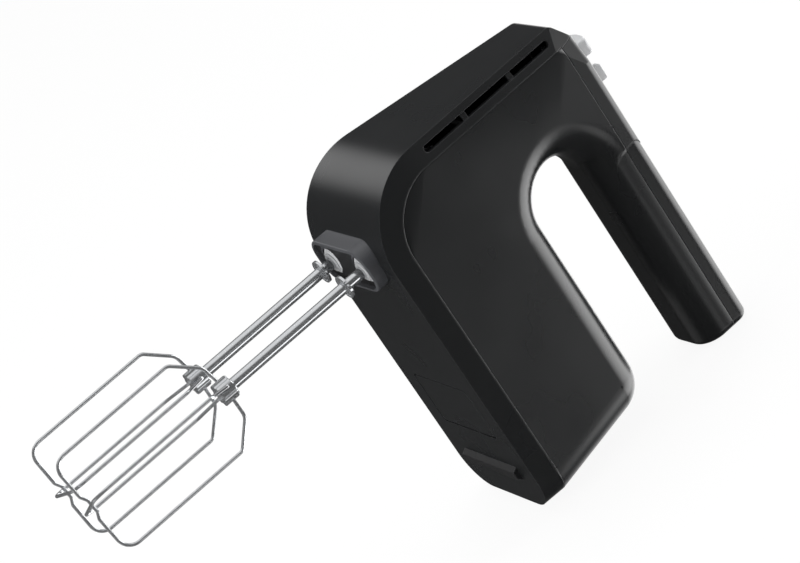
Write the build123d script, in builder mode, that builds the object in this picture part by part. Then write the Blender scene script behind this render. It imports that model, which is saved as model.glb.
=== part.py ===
"""Cordless hand mixer with two wire beaters, built as separate pieces.

The mixer stands on its heel: +Z runs from the heel to the nose, +Y from the beaters to the handle and
+X to the mixer's left. The origin is the middle of the rubber heel foot's face. Sizes are in millimetres.
"""
import os
from math import atan2, cos, hypot, pi, radians, sin, tan

from build123d import *

os.makedirs("parts", exist_ok=True)

# ------------------------------------------------------------------ fits
running_clearance = 0.05      # radial, shaft in a bush
sliding_clearance = 0.1       # radial, pin in a bore
panel_gap = 0.3               # between two casing pieces
moving_gap = 0.35             # between a moving piece and what it passes

# ------------------------------------------------------------------ casing outline, seen from the side
shaft_spacing = 34.0
underside_y = -15.4
body_top_y = 68.0
handle_bottom_y = 109.0
handle_top_y = 140.5
nose_front_z = 201.1          # foremost line of the nose
shaft_z = nose_front_z - 40.6  # beater axes above the rest plane
nose_radius = 42.0            # bend between underside and front
front_lean = 3.3              # degrees, front face leaning back towards the top
front_top_y = 131.0           # where the front meets the slanted facet
front_top_radius = 5.0        # rounding of that corner
facet_rear_z = nose_front_z - 20.1  # where the facet meets the handle top
control_rear_z = nose_front_z - 87.1  # rear end of the wide control zone
rear_bottom_z = 3.5
rear_top_z = 10.5
rear_corner_radius = 19.0
finger_gap_z = control_rear_z + 5.0  # centre of the finger gap's round end

# ------------------------------------------------------------------ casing section
side_half_width = 45.0        # at side_level_y
side_level_y = -5.5
side_taper = 23 / 135         # narrowing per mm of height
wall = 2.4
soft_radius = 18.0            # rounded edges at the rear and round the finger gap
bevel_side = 11.0             # bevel along the whole front and bottom contour, measured on the side
bevel_front = 4.5             # and on the front and underside
seam_inset = 12.0             # seam between front shell and side panels, inside the contour
lip_depth = 3.0
lip_thickness = 1.2

# ------------------------------------------------------------------ handle
grip_half_width = side_half_width - 24.4
grip_front_z = control_rear_z + 10.0
grip_bottom_radius = 14.0
grip_top_radius = 6.5
grip_end_radius = 4.5
control_top_radius = 6.0
cover_seam_y = 129.5
cover_front_z = facet_rear_z + 1.5
ridge_length = 5.0
ridge_depth = 3.0

# ------------------------------------------------------------------ vents, hatch, feet
vent_top_y = 125.0
vent_bottom_y = 34.0
vent_width = 3.8
vent_web_levels = (96.5, 63.0)
vent_web = 3.2
vent_web_recess = 1.0         # the webs stand this far below the surface
vent_inset = 5.6              # slot centre behind the front contour
hatch_half_width = 28.0
hatch_rear_z = 48.5
hatch_front_z = 80.5
hatch_thickness = 2.0
hatch_skin = 0.6
hatch_radius = 3.0
hatch_edge = 0.8
hatch_pad_margin = 2.0
foot_bar_half_width = 27.0
foot_bar_rear_z = 21.0
foot_bar_front_z = 29.5
foot_bar_drop = 3.1
foot_bar_pocket = 1.0
foot_bar_slant = 1.8
foot_bar_toe = 2.7
foot_bar_edge = 0.6
heel_half_width = 22.0
heel_half_height = 3.2
heel_pocket = 1.2
heel_radius = 3.0

# ------------------------------------------------------------------ nose bezel
bezel_half_width = 29.5
bezel_rear_z = shaft_z - 12.0
bezel_front_z = shaft_z + 14.2
bezel_radius = 11.5
bezel_rim_y = -22.0
bezel_wall = 1.8
bezel_recess = 2.5
bezel_floor = 2.4

# ------------------------------------------------------------------ gearbox
gear_level_y = 26.0           # motor axis and worm wheels
plate_thickness = 4.0
frame_bottom_y = -6.0
frame_top_y = 46.0
frame_half_width = 31.0
frame_rear_z = shaft_z - 22.5
frame_front_z = shaft_z + 18.5
frame_front_wall = 3.0
frame_front_half_width = 20.0
bush_diameter = 14.0
bush_flange = 18.0
bush_flange_thickness = 1.2
wheel_teeth = 20
worm_pitch_radius = 3.7
worm_outer_radius = 4.9
worm_turns = 6
tooth_thickness = 1.72        # at the pitch circle, wheel and worm alike
pressure_angle = 20.0
root_clearance = 0.35
wheel_face = 6.0
wheel_hub_diameter = 16.0
wheel_hub_length = 12.0
tooth_embed = 0.6
thread_embed = 0.1
gearbox_boss_diameter = 6.4
gearbox_boss_height = 9.0
cover_screw_places = ((-27.0, frame_rear_z + 2.0), (27.0, frame_rear_z + 2.0), (0.0, frame_front_z - 1.5))
cover_screw_length = 12.0
post_screw_length = 10.0

# ------------------------------------------------------------------ spindles and ejector
spindle_diameter = 11.0
spindle_bore = 6.1
spindle_flange_diameter = 15.8    # over the corners of its eight sides
spindle_flange_sides = 8
spindle_flange = 2.7
spindle_mouth_y = -20.0
drive_slot_depth = 5.0
drive_slot_radius = 4.5
drive_slot_width = 1.6
spindle_top_y = 52.0
ejector_plate_y = 72.0
ejector_plate_thickness = 3.0
eject_z = shaft_z + 9.5
eject_rod_diameter = 5.0
eject_guide_diameter = 4.0
spring_wire = 0.9
spring_diameter = 7.4
spring_turns = 7

# ------------------------------------------------------------------ motor
motor_diameter = 46.0
motor_wall = 1.5
motor_front_z = frame_rear_z - 6.0
motor_rear_z = motor_front_z - 60.0
motor_boss_diameter = 18.0
can_window_width = 9.0
can_window_length = 5.0
end_cap_thickness = 3.5
end_cap_vent = 5.0
end_cap_vents = 6
end_cap_vent_circle = 15.3
magnet_thickness = 3.0
magnet_overlap = 2.0
pole_gap = 21.4
air_gap = 0.7
motor_shaft_diameter = 4.8
bearing_diameter = 13.0
bearing_width = 3.0
motor_shaft_rear_z = motor_rear_z - 17.0
motor_shaft_front_z = frame_front_z + 0.5
core_rear_z = motor_rear_z + 14.0
core_length = 32.0
core_slots = 8
slot_circle = 12.3
slot_bore = 5.6
slot_mouth = 2.2
winding_overhang = 6.0
commutator_diameter = 13.0
commutator_length = 7.0
commutator_rear_z = motor_rear_z + 0.6
commutator_groove = 1.2
brush_width = 5.0
brush_height = 3.4
brush_length = 9.0
brush_reach = 1.2
brush_z = motor_rear_z + 4.0
fan_diameter = 37.0
fan_rear_z = motor_shaft_rear_z + 1.0
fan_width = 8.0
fan_blades = 9
fan_hub_diameter = 10.0
blade_thickness = 1.2
blade_angle = 30.0

# ------------------------------------------------------------------ battery and charging
cell_diameter = 18.2
cell_length = 65.0
cell_pitch = 19.5
cell_middle_y = 9.75
cell_middle_z = 33.05
cell_link_thickness = 0.3
cell_link_width = 8.0
holder_plate_x = 22.0
holder_plate_thickness = 3.0
holder_rear_z = 14.8
holder_front_z = 46.0
holder_strip = 3.0
holder_strip_length = 14.0
charge_board_length = 34.0
charge_board_width = 34.0
charge_board_middle_z = 30.0
charge_socket_rear_z = 11.6
charge_socket_length = 13.0
charge_socket_width = 11.0
charge_socket_height = 10.0
charge_nose_diameter = 8.0
charge_bore = 5.5
charge_pin = 2.0

# ------------------------------------------------------------------ controls
eject_key_half_width = 9.5
eject_key_length = 9.2
eject_key_top_y = 148.5
eject_key_crown = 1.5
key_flange = 2.5
eject_flange_y = 133.0
eject_rod_socket = 3.0
eject_guide_length = 21.0
slider_z = shaft_z - 9.4
slider_half_width = 2.75
slider_length = 8.8
slider_top_y = 150.3
slider_travel = 20.0
slider_stem_half_width = 1.4
slider_stem_length = 4.8
slider_flange_half_width = 5.0
slider_flange_thickness = 1.4
key_corner = 1.5
board_y = 126.0
board_thickness = 1.6
board_half_width = 13.0
board_rear_z = control_rear_z - 16.0
board_front_z = board_rear_z + 63.0
board_post_x = 9.5
board_post_stations = (board_rear_z + 5.0, board_front_z - 3.0)
board_post_diameter = 5.0
switch_half_width = 6.0
switch_height = 6.9
switch_margin = 3.0
slider_stem_engagement = 2.8   # of the slider's stem in the switch
cover_screw_y = 121.0
cover_boss_width = 16.0
cover_boss_height = 8.0
cover_boss_length = 11.0
end_pad = 2.0
head_recess = 2.0

# ------------------------------------------------------------------ beaters
beater_shaft_diameter = 6.0
beater_top_y = 23.3
beater_turn_left = -26.5      # degrees, how the loops stand at rest
beater_turn_right = -18.5
loop_angle = 90.0             # between a beater's two loops
left_collar_y = -33.0         # the left and right collars differ in height, so each
right_collar_y = -28.4        # beater is known by its own
collar_diameter = 13.0
collar_thickness = 1.4
collar_notch = 3.0
collar_rim = 1.0
collar_dish = 0.4
ear_radius = 4.2
ear_thickness = 1.2
hub_top_y = -106.7
hub_bottom_y = -115.4
hub_diameter = 12.4
hub_flute = 1.9
hub_edge = 1.2
wire_diameter = 1.8
wire_root_radius = 4.0
wire_root_y = -111.0
cage_neck_radius = 15.6
cage_neck_y = -112.4
neck_bend = 6.0
shoulder_bend = 4.0
foot_bend = 7.5
hop_half_width = 3.5
hop_bend = 1.5
cage_radius = 27.3
cage_shoulder_y = -124.7
cage_bottom_y = -198.1
cage_hop = 1.85

# ------------------------------------------------------------------ screws, posts and ribs
screw_diameter = 2.9
screw_head_diameter = 5.6
screw_head_height = 1.5
screw_slot = 0.9
housing_screw_x = 24.0
housing_screw_length = 16.0
post_diameter = 7.0
gearbox_post_x = 27.5
gearbox_post_z = shaft_z - 14.3
column_diameter = 7.5
hold_down_diameter = 6.0
rib_thickness = 2.4
saddle_stations = (motor_rear_z + 8.0, motor_front_z - 8.0)
saddle_half_width = 26.0
saddle_top_y = 14.0

# ------------------------------------------------------------------ derived places
half_spacing = shaft_spacing / 2
bend_z = nose_front_z - nose_radius
bend_y = underside_y + nose_radius
front_tangent_y = bend_y + nose_radius * sin(radians(front_lean))
front_tangent_z = bend_z + nose_radius * cos(radians(front_lean))
gap_radius = (handle_bottom_y - body_top_y) / 2
gap_centre_y = (handle_bottom_y + body_top_y) / 2
taper_slant = hypot(1, side_taper)
sides = {"left": 1, "right": -1}
wheel_pitch_radius = half_spacing - worm_pitch_radius
wheel_tip_radius = half_spacing - motor_shaft_diameter / 2 - root_clearance
wheel_root_radius = half_spacing - worm_outer_radius - root_clearance
worm_lead = 2 * pi * wheel_pitch_radius / wheel_teeth
lead_angle = atan2(worm_lead, 2 * pi * worm_pitch_radius)
tooth_pitch_angle = 360 / wheel_teeth
core_radius = motor_diameter / 2 - motor_wall - magnet_thickness - air_gap
brush_middle_x = commutator_diameter / 2 + brush_length / 2


def side_width(y):
    """Half width of the leaning sides at height y."""
    return side_half_width - (y - side_level_y) * side_taper


def front_depth(y):
    """Z of the straight part of the front face at height y."""
    return front_tangent_z - (y - front_tangent_y) * tan(radians(front_lean))


def rear_depth(y):
    """Z of the leaning rear face at height y."""
    return rear_bottom_z + (y - underside_y) * (rear_top_z - rear_bottom_z) / (body_top_y - underside_y)


def level(y, x=0.0, z=0.0):
    """Plane at height y that faces the handle; its x is +X and its y runs towards the heel."""
    return Plane(origin=(x, y, z), x_dir=(1, 0, 0), z_dir=(0, 1, 0))


def station(z, x=0.0, y=0.0):
    """Plane across the mixer at distance z from the rest plane, facing the nose."""
    return Plane(origin=(x, y, z), x_dir=(1, 0, 0), z_dir=(0, 0, 1))


def body_form(inset):
    """The casing's solid form without the grip, with every wall moved inwards by inset."""
    slant = hypot(bevel_side, bevel_front)
    side_leg = bevel_side - inset * (1 - (slant - bevel_side) / bevel_front)
    front_leg = bevel_front - inset * (1 - (slant - bevel_front) / bevel_side)
    half_turn = radians((90 - front_lean) / 2)
    with BuildPart() as form:
        with BuildSketch(Plane.YZ) as profile:
            with BuildLine():
                Line((underside_y, rear_bottom_z), (underside_y, bend_z))
                ThreePointArc(
                    (underside_y, bend_z),
                    (bend_y - nose_radius * cos(half_turn), bend_z + nose_radius * sin(half_turn)),
                    (front_tangent_y, front_tangent_z),
                )
                Polyline(
                    (front_tangent_y, front_tangent_z),
                    (front_top_y, front_depth(front_top_y)),
                    (handle_top_y, facet_rear_z),
                    (handle_top_y, control_rear_z),
                    (handle_bottom_y, control_rear_z),
                    (handle_bottom_y, finger_gap_z),
                )
                ThreePointArc(
                    (handle_bottom_y, finger_gap_z),
                    (gap_centre_y, finger_gap_z + gap_radius),
                    (body_top_y, finger_gap_z),
                )
                Line((body_top_y, finger_gap_z), (body_top_y, rear_top_z))
                Line((body_top_y, rear_top_z), (underside_y, rear_bottom_z))
            make_face()
            fillet(profile.vertices().sort_by_distance((body_top_y, rear_top_z))[0], rear_corner_radius)
            if inset:
                offset(amount=-inset, kind=Kind.INTERSECTION, mode=Mode.REPLACE)
        extrude(amount=2 * side_half_width, both=True)
        with BuildSketch(Plane.XY):
            low, high = 2 * underside_y, handle_top_y + wall
            with BuildLine():
                Polyline(
                    (inset * taper_slant - side_width(low), low),
                    (side_width(low) - inset * taper_slant, low),
                    (side_width(high) - inset * taper_slant, high),
                    (inset * taper_slant - side_width(high), high),
                    close=True,
                )
            make_face()
        extrude(amount=nose_front_z + wall, mode=Mode.INTERSECT)
        for side in sides.values():
            contour = [edge for edge in form.edges() if is_contour_edge(edge, inset, side)]
            chamfer(contour, length=side_leg, length2=front_leg, reference=flank_of(form, side))
        fillet([edge for edge in form.edges() if is_soft_edge(edge, inset)], soft_radius - inset)
        if not inset:
            fillet([edge for edge in form.edges() if is_front_top_edge(edge)], front_top_radius)
        if not inset:
            for side in sides.values():
                edge_x = side * side_width(handle_bottom_y)
                with BuildSketch(level(handle_bottom_y)):
                    with BuildLine():
                        Polyline(
                            (edge_x - side * ridge_depth, -control_rear_z),
                            (edge_x + side * ridge_depth, -control_rear_z),
                            (edge_x + side * ridge_depth, -control_rear_z - 2 * ridge_length),
                            close=True,
                        )
                    make_face()
                extrude(amount=handle_top_y, dir=(-side * side_taper, 1, 0), mode=Mode.SUBTRACT)
    return form.part


def flank_of(form, side):
    """The leaning side face of a casing form."""
    leaning = [face for face in form.faces().filter_by(GeomType.PLANE) if face.normal_at().X * side > 0.95]
    return sorted(leaning, key=lambda face: face.area)[-1]


def is_contour_edge(edge, inset, side):
    """True for the edges between one side and the underside, bend, front and facet."""
    middle = edge.center()
    low = middle.Y < underside_y + inset + 1
    ahead = middle.Z > facet_rear_z + 2
    return (low or ahead) and middle.X * side > 10 and edge.bounding_box().size.X < side_half_width / 2


def is_front_top_edge(edge):
    """True for the edge where the front meets the slanted facet."""
    middle = edge.center()
    corner = Vector(0, front_top_y, front_depth(front_top_y))
    return abs(middle.X) < 1 and (middle - corner).length < 1


def is_soft_edge(edge, inset):
    """True for the side edges of the rear face, the body top and the finger gap."""
    middle = edge.center()
    if abs(middle.X) < 10 or edge.bounding_box().size.X > side_half_width / 2:
        return False
    if middle.Z < rear_top_z + inset + 2 and middle.Y < body_top_y - inset:
        return True
    round_gap = body_top_y - rear_corner_radius < middle.Y + inset < handle_bottom_y + 2 * inset + 1
    return round_gap and middle.Z < finger_gap_z + gap_radius + 5


def grip_form(inset):
    """The grip's solid form, with every wall moved inwards by inset."""
    half = grip_half_width - inset
    low, high = handle_bottom_y + inset, handle_top_y - inset
    with BuildPart() as form:
        with BuildSketch(station(inset)) as section:
            with BuildLine():
                Polyline((-half, low), (half, low), (half, high), (-half, high), close=True)
            make_face()
            fillet(section.vertices().group_by(Axis.Y)[0], grip_bottom_radius - inset)
            fillet(section.vertices().group_by(Axis.Y)[-1], grip_top_radius - inset)
        extrude(amount=grip_front_z - inset)
        fillet(form.faces().sort_by(Axis.Z)[0].edges(), grip_end_radius - inset)
    return form.part


def casing_form(inset):
    """Body and grip together; the control zone's top edges are rounded."""
    with BuildPart() as form:
        add(body_form(inset))
        add(grip_form(inset))
        top = [
            edge
            for edge in form.edges()
            if abs(edge.center().Y - handle_top_y + inset) < 0.01
            and abs(edge.center().X) > grip_half_width / 2
            and edge.center().Z > grip_front_z
        ]
        fillet(top, control_top_radius - inset)
    return form.part


def contour_band(depth):
    """Everything more than depth inside the front and bottom contour, seen from the side."""
    reach = nose_radius - depth
    tangent_y = bend_y + reach * sin(radians(front_lean))
    tangent_z = bend_z + reach * cos(radians(front_lean))
    half_turn = radians((90 - front_lean) / 2)
    top = 2 * handle_top_y
    with BuildPart() as band:
        with BuildSketch(Plane.YZ):
            with BuildLine():
                Line((underside_y + depth, -wall), (underside_y + depth, bend_z))
                ThreePointArc(
                    (underside_y + depth, bend_z),
                    (bend_y - reach * cos(half_turn), bend_z + reach * sin(half_turn)),
                    (tangent_y, tangent_z),
                )
                Polyline(
                    (tangent_y, tangent_z),
                    (cover_seam_y, tangent_z - (cover_seam_y - tangent_y) * tan(radians(front_lean))),
                    (cover_seam_y, cover_front_z + seam_inset - depth),
                    (top, cover_front_z + seam_inset - depth),
                    (top, -wall),
                    (underside_y + depth, -wall),
                )
            make_face()
        extrude(amount=2 * side_half_width, both=True)
    return band.part


def cover_zone(gap, setback=0.0):
    """The block that holds the handle cover, moved inwards by gap; setback shortens its front."""
    front, rear = cover_front_z - gap - setback, -2 * wall
    with BuildPart() as zone:
        with BuildSketch(level(cover_seam_y + gap)):
            with Locations((0, -(front + rear) / 2)):
                Rectangle(2 * side_half_width, front - rear)
        extrude(amount=2 * (handle_top_y - cover_seam_y))
    return zone.part


def seat_screw(seat, length):
    """Pan-head screw whose head rests on the seat plane; the plane's normal points away from the shank."""
    with BuildPart() as screw:
        with BuildSketch(seat):
            Circle(screw_diameter / 2)
        extrude(amount=-length)
        with BuildSketch(seat):
            Circle(screw_head_diameter / 2)
        extrude(amount=screw_head_height)
        with BuildSketch(seat.offset(screw_head_height)):
            Rectangle(screw_head_diameter / 2, screw_slot)
            Rectangle(screw_slot, screw_head_diameter / 2)
        extrude(amount=-screw_head_height / 2, mode=Mode.SUBTRACT)
    return screw.part


# ------------------------------------------------------------------ shared forms of the casing
outer_form = casing_form(0)
inner_form = casing_form(wall)
lip_outer = casing_form(wall + sliding_clearance)
lip_inner = casing_form(wall + lip_thickness)
floor_y = underside_y + wall
pad_y = floor_y + hatch_thickness
hatch_middle_z = (hatch_rear_z + hatch_front_z) / 2
hatch_length = hatch_front_z - hatch_rear_z
housing_screw_seat_y = underside_y + hatch_thickness + panel_gap
vent_middle_y = (vent_top_y + vent_bottom_y) / 2
bezel_middle_z = (bezel_rear_z + bezel_front_z) / 2
bezel_length = bezel_front_z - bezel_rear_z
holder_bottom_y = floor_y
holder_top_y = cell_middle_y + cell_pitch / 2 + cell_diameter / 2 + holder_strip
charge_axis_y = holder_top_y + board_thickness + charge_socket_height / 2
cover_inner_y = handle_top_y - wall
stem_end_y = board_y + board_thickness + switch_height - slider_stem_engagement
slider_slot_front = slider_z + slider_stem_length / 2 + moving_gap
slider_slot_rear = slider_z - slider_stem_length / 2 - slider_travel - moving_gap

# ------------------------------------------------------------------ front shell
with BuildPart() as vent_webs:
    add(casing_form(vent_web_recess))
    add(inner_form, mode=Mode.SUBTRACT)
    with BuildSketch(Plane.YZ):
        for web_y in vent_web_levels:
            with Locations((web_y, front_depth(web_y) - vent_inset)):
                Rectangle(vent_web, vent_width + wall, rotation=-front_lean)
    extrude(amount=2 * side_half_width, both=True, mode=Mode.INTERSECT)

with BuildPart() as front_shell:
    add(outer_form)
    add(inner_form, mode=Mode.SUBTRACT)
    add(contour_band(seam_inset - panel_gap / 2), mode=Mode.SUBTRACT)
    # a long vent through each bevelled flank, crossed by webs
    with BuildSketch(Plane.YZ):
        with Locations((vent_middle_y, front_depth(vent_middle_y) - vent_inset)):
            SlotOverall(vent_top_y - vent_bottom_y, vent_width, rotation=-front_lean)
    extrude(amount=2 * side_half_width, both=True, mode=Mode.SUBTRACT)
    add(vent_webs.part)
    # window for the nose bezel
    with BuildSketch(level(bezel_rim_y, 0, bezel_middle_z)):
        RectangleRounded(
            2 * (bezel_half_width + panel_gap / 2), bezel_length + panel_gap, bezel_radius + panel_gap / 2
        )
    extrude(amount=-bezel_rim_y, mode=Mode.SUBTRACT)
    # motor saddles
    for saddle_z in saddle_stations:
        with BuildSketch(station(saddle_z - rib_thickness / 2)):
            with Locations((0, (floor_y - wall / 2 + saddle_top_y) / 2)):
                Rectangle(2 * saddle_half_width, saddle_top_y - floor_y + wall / 2)
            with Locations((0, gear_level_y)):
                Circle(motor_diameter / 2 + sliding_clearance, mode=Mode.SUBTRACT)
        extrude(amount=rib_thickness)
    # thick pad with the hatch pocket
    with BuildSketch(level(floor_y, 0, hatch_middle_z)):
        Rectangle(2 * hatch_half_width + 2 * wall, hatch_length + 2 * hatch_pad_margin)
    extrude(amount=pad_y - floor_y)
    with BuildSketch(level(underside_y, 0, hatch_middle_z)):
        RectangleRounded(2 * hatch_half_width + 2 * panel_gap, hatch_length + 2 * panel_gap, hatch_radius)
    extrude(amount=hatch_thickness + panel_gap, mode=Mode.SUBTRACT)
    # screw seats under the hatch
    with BuildSketch(level(underside_y, 0, hatch_middle_z)):
        with Locations((-housing_screw_x, 0), (housing_screw_x, 0)):
            Circle(screw_diameter / 2 + sliding_clearance)
    extrude(amount=pad_y - underside_y, mode=Mode.SUBTRACT)
    # posts under the rear of the gearbox
    with BuildSketch(level(floor_y - wall / 2)):
        with Locations((-gearbox_post_x, -gearbox_post_z), (gearbox_post_x, -gearbox_post_z)):
            Circle(post_diameter / 2)
    extrude(amount=frame_bottom_y - floor_y + wall / 2)
    with BuildSketch(level(frame_bottom_y)):
        with Locations((-gearbox_post_x, -gearbox_post_z), (gearbox_post_x, -gearbox_post_z)):
            Circle(screw_diameter / 2 + running_clearance)
    extrude(amount=-(frame_bottom_y - floor_y), mode=Mode.SUBTRACT)
    # pocket for the foot bar
    with BuildSketch(level(underside_y, 0, (foot_bar_rear_z + foot_bar_front_z) / 2)):
        Rectangle(2 * foot_bar_half_width, foot_bar_front_z - foot_bar_rear_z)
    extrude(amount=foot_bar_pocket, mode=Mode.SUBTRACT)
    # half of the pocket for the heel foot
    with BuildSketch(station(-wall)):
        RectangleRounded(2 * heel_half_width, 2 * heel_half_height, heel_radius)
    extrude(amount=wall + rear_depth(0) + heel_pocket, mode=Mode.SUBTRACT)
front_shell.part.label = "front_shell"
export_step(front_shell.part, "parts/front_shell.step")

# ------------------------------------------------------------------ main housing
with BuildPart() as lip_tongue:
    add(lip_outer)
    add(contour_band(seam_inset - lip_depth), mode=Mode.INTERSECT)

with BuildPart() as seam_lip:
    add(inner_form)
    add(contour_band(seam_inset + panel_gap / 2), mode=Mode.INTERSECT)
    add(lip_tongue.part)
    add(contour_band(seam_inset + lip_depth), mode=Mode.SUBTRACT)
    add(lip_inner, mode=Mode.SUBTRACT)

with BuildPart() as motor_ribs:
    for saddle_z in saddle_stations:
        with BuildSketch(station(saddle_z - rib_thickness / 2)):
            with Locations((0, (saddle_top_y + moving_gap + body_top_y - wall) / 2)):
                Rectangle(2 * side_half_width, body_top_y - wall - saddle_top_y - moving_gap)
            with Locations((0, gear_level_y)):
                Circle(motor_diameter / 2 + sliding_clearance, mode=Mode.SUBTRACT)
        extrude(amount=rib_thickness)
    add(inner_form, mode=Mode.INTERSECT)

with BuildPart() as main_housing:
    add(outer_form)
    add(inner_form, mode=Mode.SUBTRACT)
    add(contour_band(seam_inset + panel_gap / 2), mode=Mode.INTERSECT)
    add(seam_lip.part)
    add(cover_zone(-panel_gap / 2), mode=Mode.SUBTRACT)
    add(motor_ribs.part)
    # screw columns that reach down to the hatch pad
    with BuildSketch(level(pad_y + panel_gap)):
        with Locations((-housing_screw_x, -hatch_middle_z), (housing_screw_x, -hatch_middle_z)):
            Circle(column_diameter / 2)
    extrude(amount=body_top_y - wall / 2 - pad_y - panel_gap)
    with BuildSketch(level(pad_y)):
        with Locations((-housing_screw_x, -hatch_middle_z), (housing_screw_x, -hatch_middle_z)):
            Circle(screw_diameter / 2 + running_clearance)
    extrude(amount=housing_screw_length, mode=Mode.SUBTRACT)
    # posts that hold the battery cradle down
    with BuildSketch(level(holder_top_y)):
        with Locations((-holder_plate_x, -cell_middle_z), (holder_plate_x, -cell_middle_z)):
            Circle(hold_down_diameter / 2)
    extrude(amount=body_top_y - wall / 2 - holder_top_y)
    # charging inlet, heel pocket and the cover screw's seat in the grip end
    with BuildSketch(station(-wall)):
        with Locations((0, charge_axis_y)):
            Circle(charge_nose_diameter / 2 + sliding_clearance)
    extrude(amount=rear_depth(charge_axis_y) + 3 * wall, mode=Mode.SUBTRACT)
    with BuildSketch(station(-wall)):
        RectangleRounded(2 * heel_half_width, 2 * heel_half_height, heel_radius)
    extrude(amount=wall + rear_depth(0) + heel_pocket, mode=Mode.SUBTRACT)
    with BuildSketch(station(wall / 2)):
        with Locations((0, cover_screw_y)):
            Rectangle(cover_boss_width, cover_boss_height)
    extrude(amount=wall / 2 + end_pad)
    with BuildSketch(station(0)):
        with Locations((0, cover_screw_y)):
            Circle(screw_head_diameter / 2 + panel_gap)
    extrude(amount=head_recess, mode=Mode.SUBTRACT)
    with BuildSketch(station(0)):
        with Locations((0, cover_screw_y)):
            Circle(screw_diameter / 2 + sliding_clearance)
    extrude(amount=wall + end_pad, mode=Mode.SUBTRACT)
main_housing.part.label = "main_housing"
export_step(main_housing.part, "parts/main_housing.step")

# ------------------------------------------------------------------ handle cover
with BuildPart() as cover_tongue:
    add(lip_outer)
    add(cover_zone(-lip_depth, 4 * lip_depth), mode=Mode.INTERSECT)

with BuildPart() as cover_lip:
    add(inner_form)
    add(cover_zone(panel_gap / 2, lip_depth), mode=Mode.INTERSECT)
    add(cover_tongue.part)
    add(lip_inner, mode=Mode.SUBTRACT)
    with BuildSketch(level(cover_seam_y + lip_depth)):
        with Locations((0, -nose_front_z / 2)):
            Rectangle(2 * side_half_width, 2 * nose_front_z)
    extrude(amount=handle_top_y, mode=Mode.SUBTRACT)

with BuildPart() as handle_cover:
    add(outer_form)
    add(inner_form, mode=Mode.SUBTRACT)
    add(cover_zone(panel_gap / 2), mode=Mode.INTERSECT)
    add(cover_lip.part)
    # screw boss behind the grip end
    with BuildSketch(station(wall + end_pad + panel_gap)):
        with Locations((0, (cover_screw_y - cover_boss_height / 2 + cover_inner_y + wall / 2) / 2)):
            Rectangle(cover_boss_width, cover_inner_y + wall / 2 - cover_screw_y + cover_boss_height / 2)
    extrude(amount=cover_boss_length)
    with BuildSketch(station(wall)):
        with Locations((0, cover_screw_y)):
            Circle(screw_diameter / 2 + running_clearance)
    extrude(amount=end_pad + cover_boss_length, mode=Mode.SUBTRACT)
    # posts for the control board
    with BuildSketch(level(board_y + board_thickness)):
        with Locations([(x, -z) for x in (-board_post_x, board_post_x) for z in board_post_stations]):
            Circle(board_post_diameter / 2)
    extrude(amount=cover_inner_y + wall / 2 - board_y - board_thickness)
    # openings for the eject key and the speed slider
    with BuildSketch(level(cover_inner_y - wall, 0, eject_z)):
        RectangleRounded(
            2 * (eject_key_half_width + moving_gap), eject_key_length + 2 * moving_gap, key_corner + moving_gap
        )
    extrude(amount=3 * wall, mode=Mode.SUBTRACT)
    with BuildSketch(level(cover_inner_y - wall, 0, (slider_slot_front + slider_slot_rear) / 2)):
        Rectangle(2 * (slider_stem_half_width + moving_gap), slider_slot_front - slider_slot_rear)
    extrude(amount=3 * wall, mode=Mode.SUBTRACT)
handle_cover.part.label = "handle_cover"
export_step(handle_cover.part, "parts/handle_cover.step")

# ------------------------------------------------------------------ cover screw
with BuildPart() as cover_screw:
    head_back = Plane(origin=(0, cover_screw_y, head_recess), x_dir=(1, 0, 0), z_dir=(0, 0, -1))
    add(seat_screw(head_back, housing_screw_length - 2 * head_recess))
cover_screw.part.label = "cover_screw"
export_step(cover_screw.part, "parts/cover_screw.step")

# ------------------------------------------------------------------ nose bezel
with BuildPart() as nose_bezel:
    with BuildSketch(level(bezel_rim_y, 0, bezel_middle_z)):
        RectangleRounded(2 * bezel_half_width, bezel_length, bezel_radius)
    extrude(amount=frame_bottom_y - bezel_rim_y)
    fillet(nose_bezel.faces().sort_by(Axis.Y)[0].edges(), bezel_wall / 2)
    for start, depth in (
        (bezel_rim_y, bezel_recess),
        (bezel_rim_y + bezel_recess + bezel_floor, frame_bottom_y - bezel_rim_y),
    ):
        with BuildSketch(level(start, 0, bezel_middle_z)):
            RectangleRounded(
                2 * (bezel_half_width - bezel_wall), bezel_length - 2 * bezel_wall, bezel_radius - bezel_wall
            )
        extrude(amount=depth, mode=Mode.SUBTRACT)
    with BuildSketch(level(bezel_rim_y)):
        with Locations((-half_spacing, -shaft_z), (half_spacing, -shaft_z)):
            Circle(spindle_flange_diameter / 2 + moving_gap)
    extrude(amount=frame_bottom_y - bezel_rim_y, mode=Mode.SUBTRACT)
nose_bezel.part.label = "nose_bezel"
export_step(nose_bezel.part, "parts/nose_bezel.step")

# ------------------------------------------------------------------ hatch and feet
with BuildPart() as underside_hatch:
    with BuildSketch(level(underside_y, 0, hatch_middle_z)):
        RectangleRounded(2 * hatch_half_width, hatch_length, hatch_radius - panel_gap)
    extrude(amount=hatch_thickness)
    outer_rim = underside_hatch.faces().sort_by(Axis.Y)[0].edges().filter_by(Axis.Z)
    chamfer(outer_rim, hatch_edge)
    # clearance over the screw heads
    with BuildSketch(level(underside_y + hatch_thickness)):
        with Locations((-housing_screw_x, -hatch_middle_z), (housing_screw_x, -hatch_middle_z)):
            Circle(screw_head_diameter / 2 + panel_gap)
    extrude(amount=-hatch_thickness + hatch_skin, mode=Mode.SUBTRACT)
underside_hatch.part.label = "underside_hatch"
export_step(underside_hatch.part, "parts/underside_hatch.step")

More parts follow.
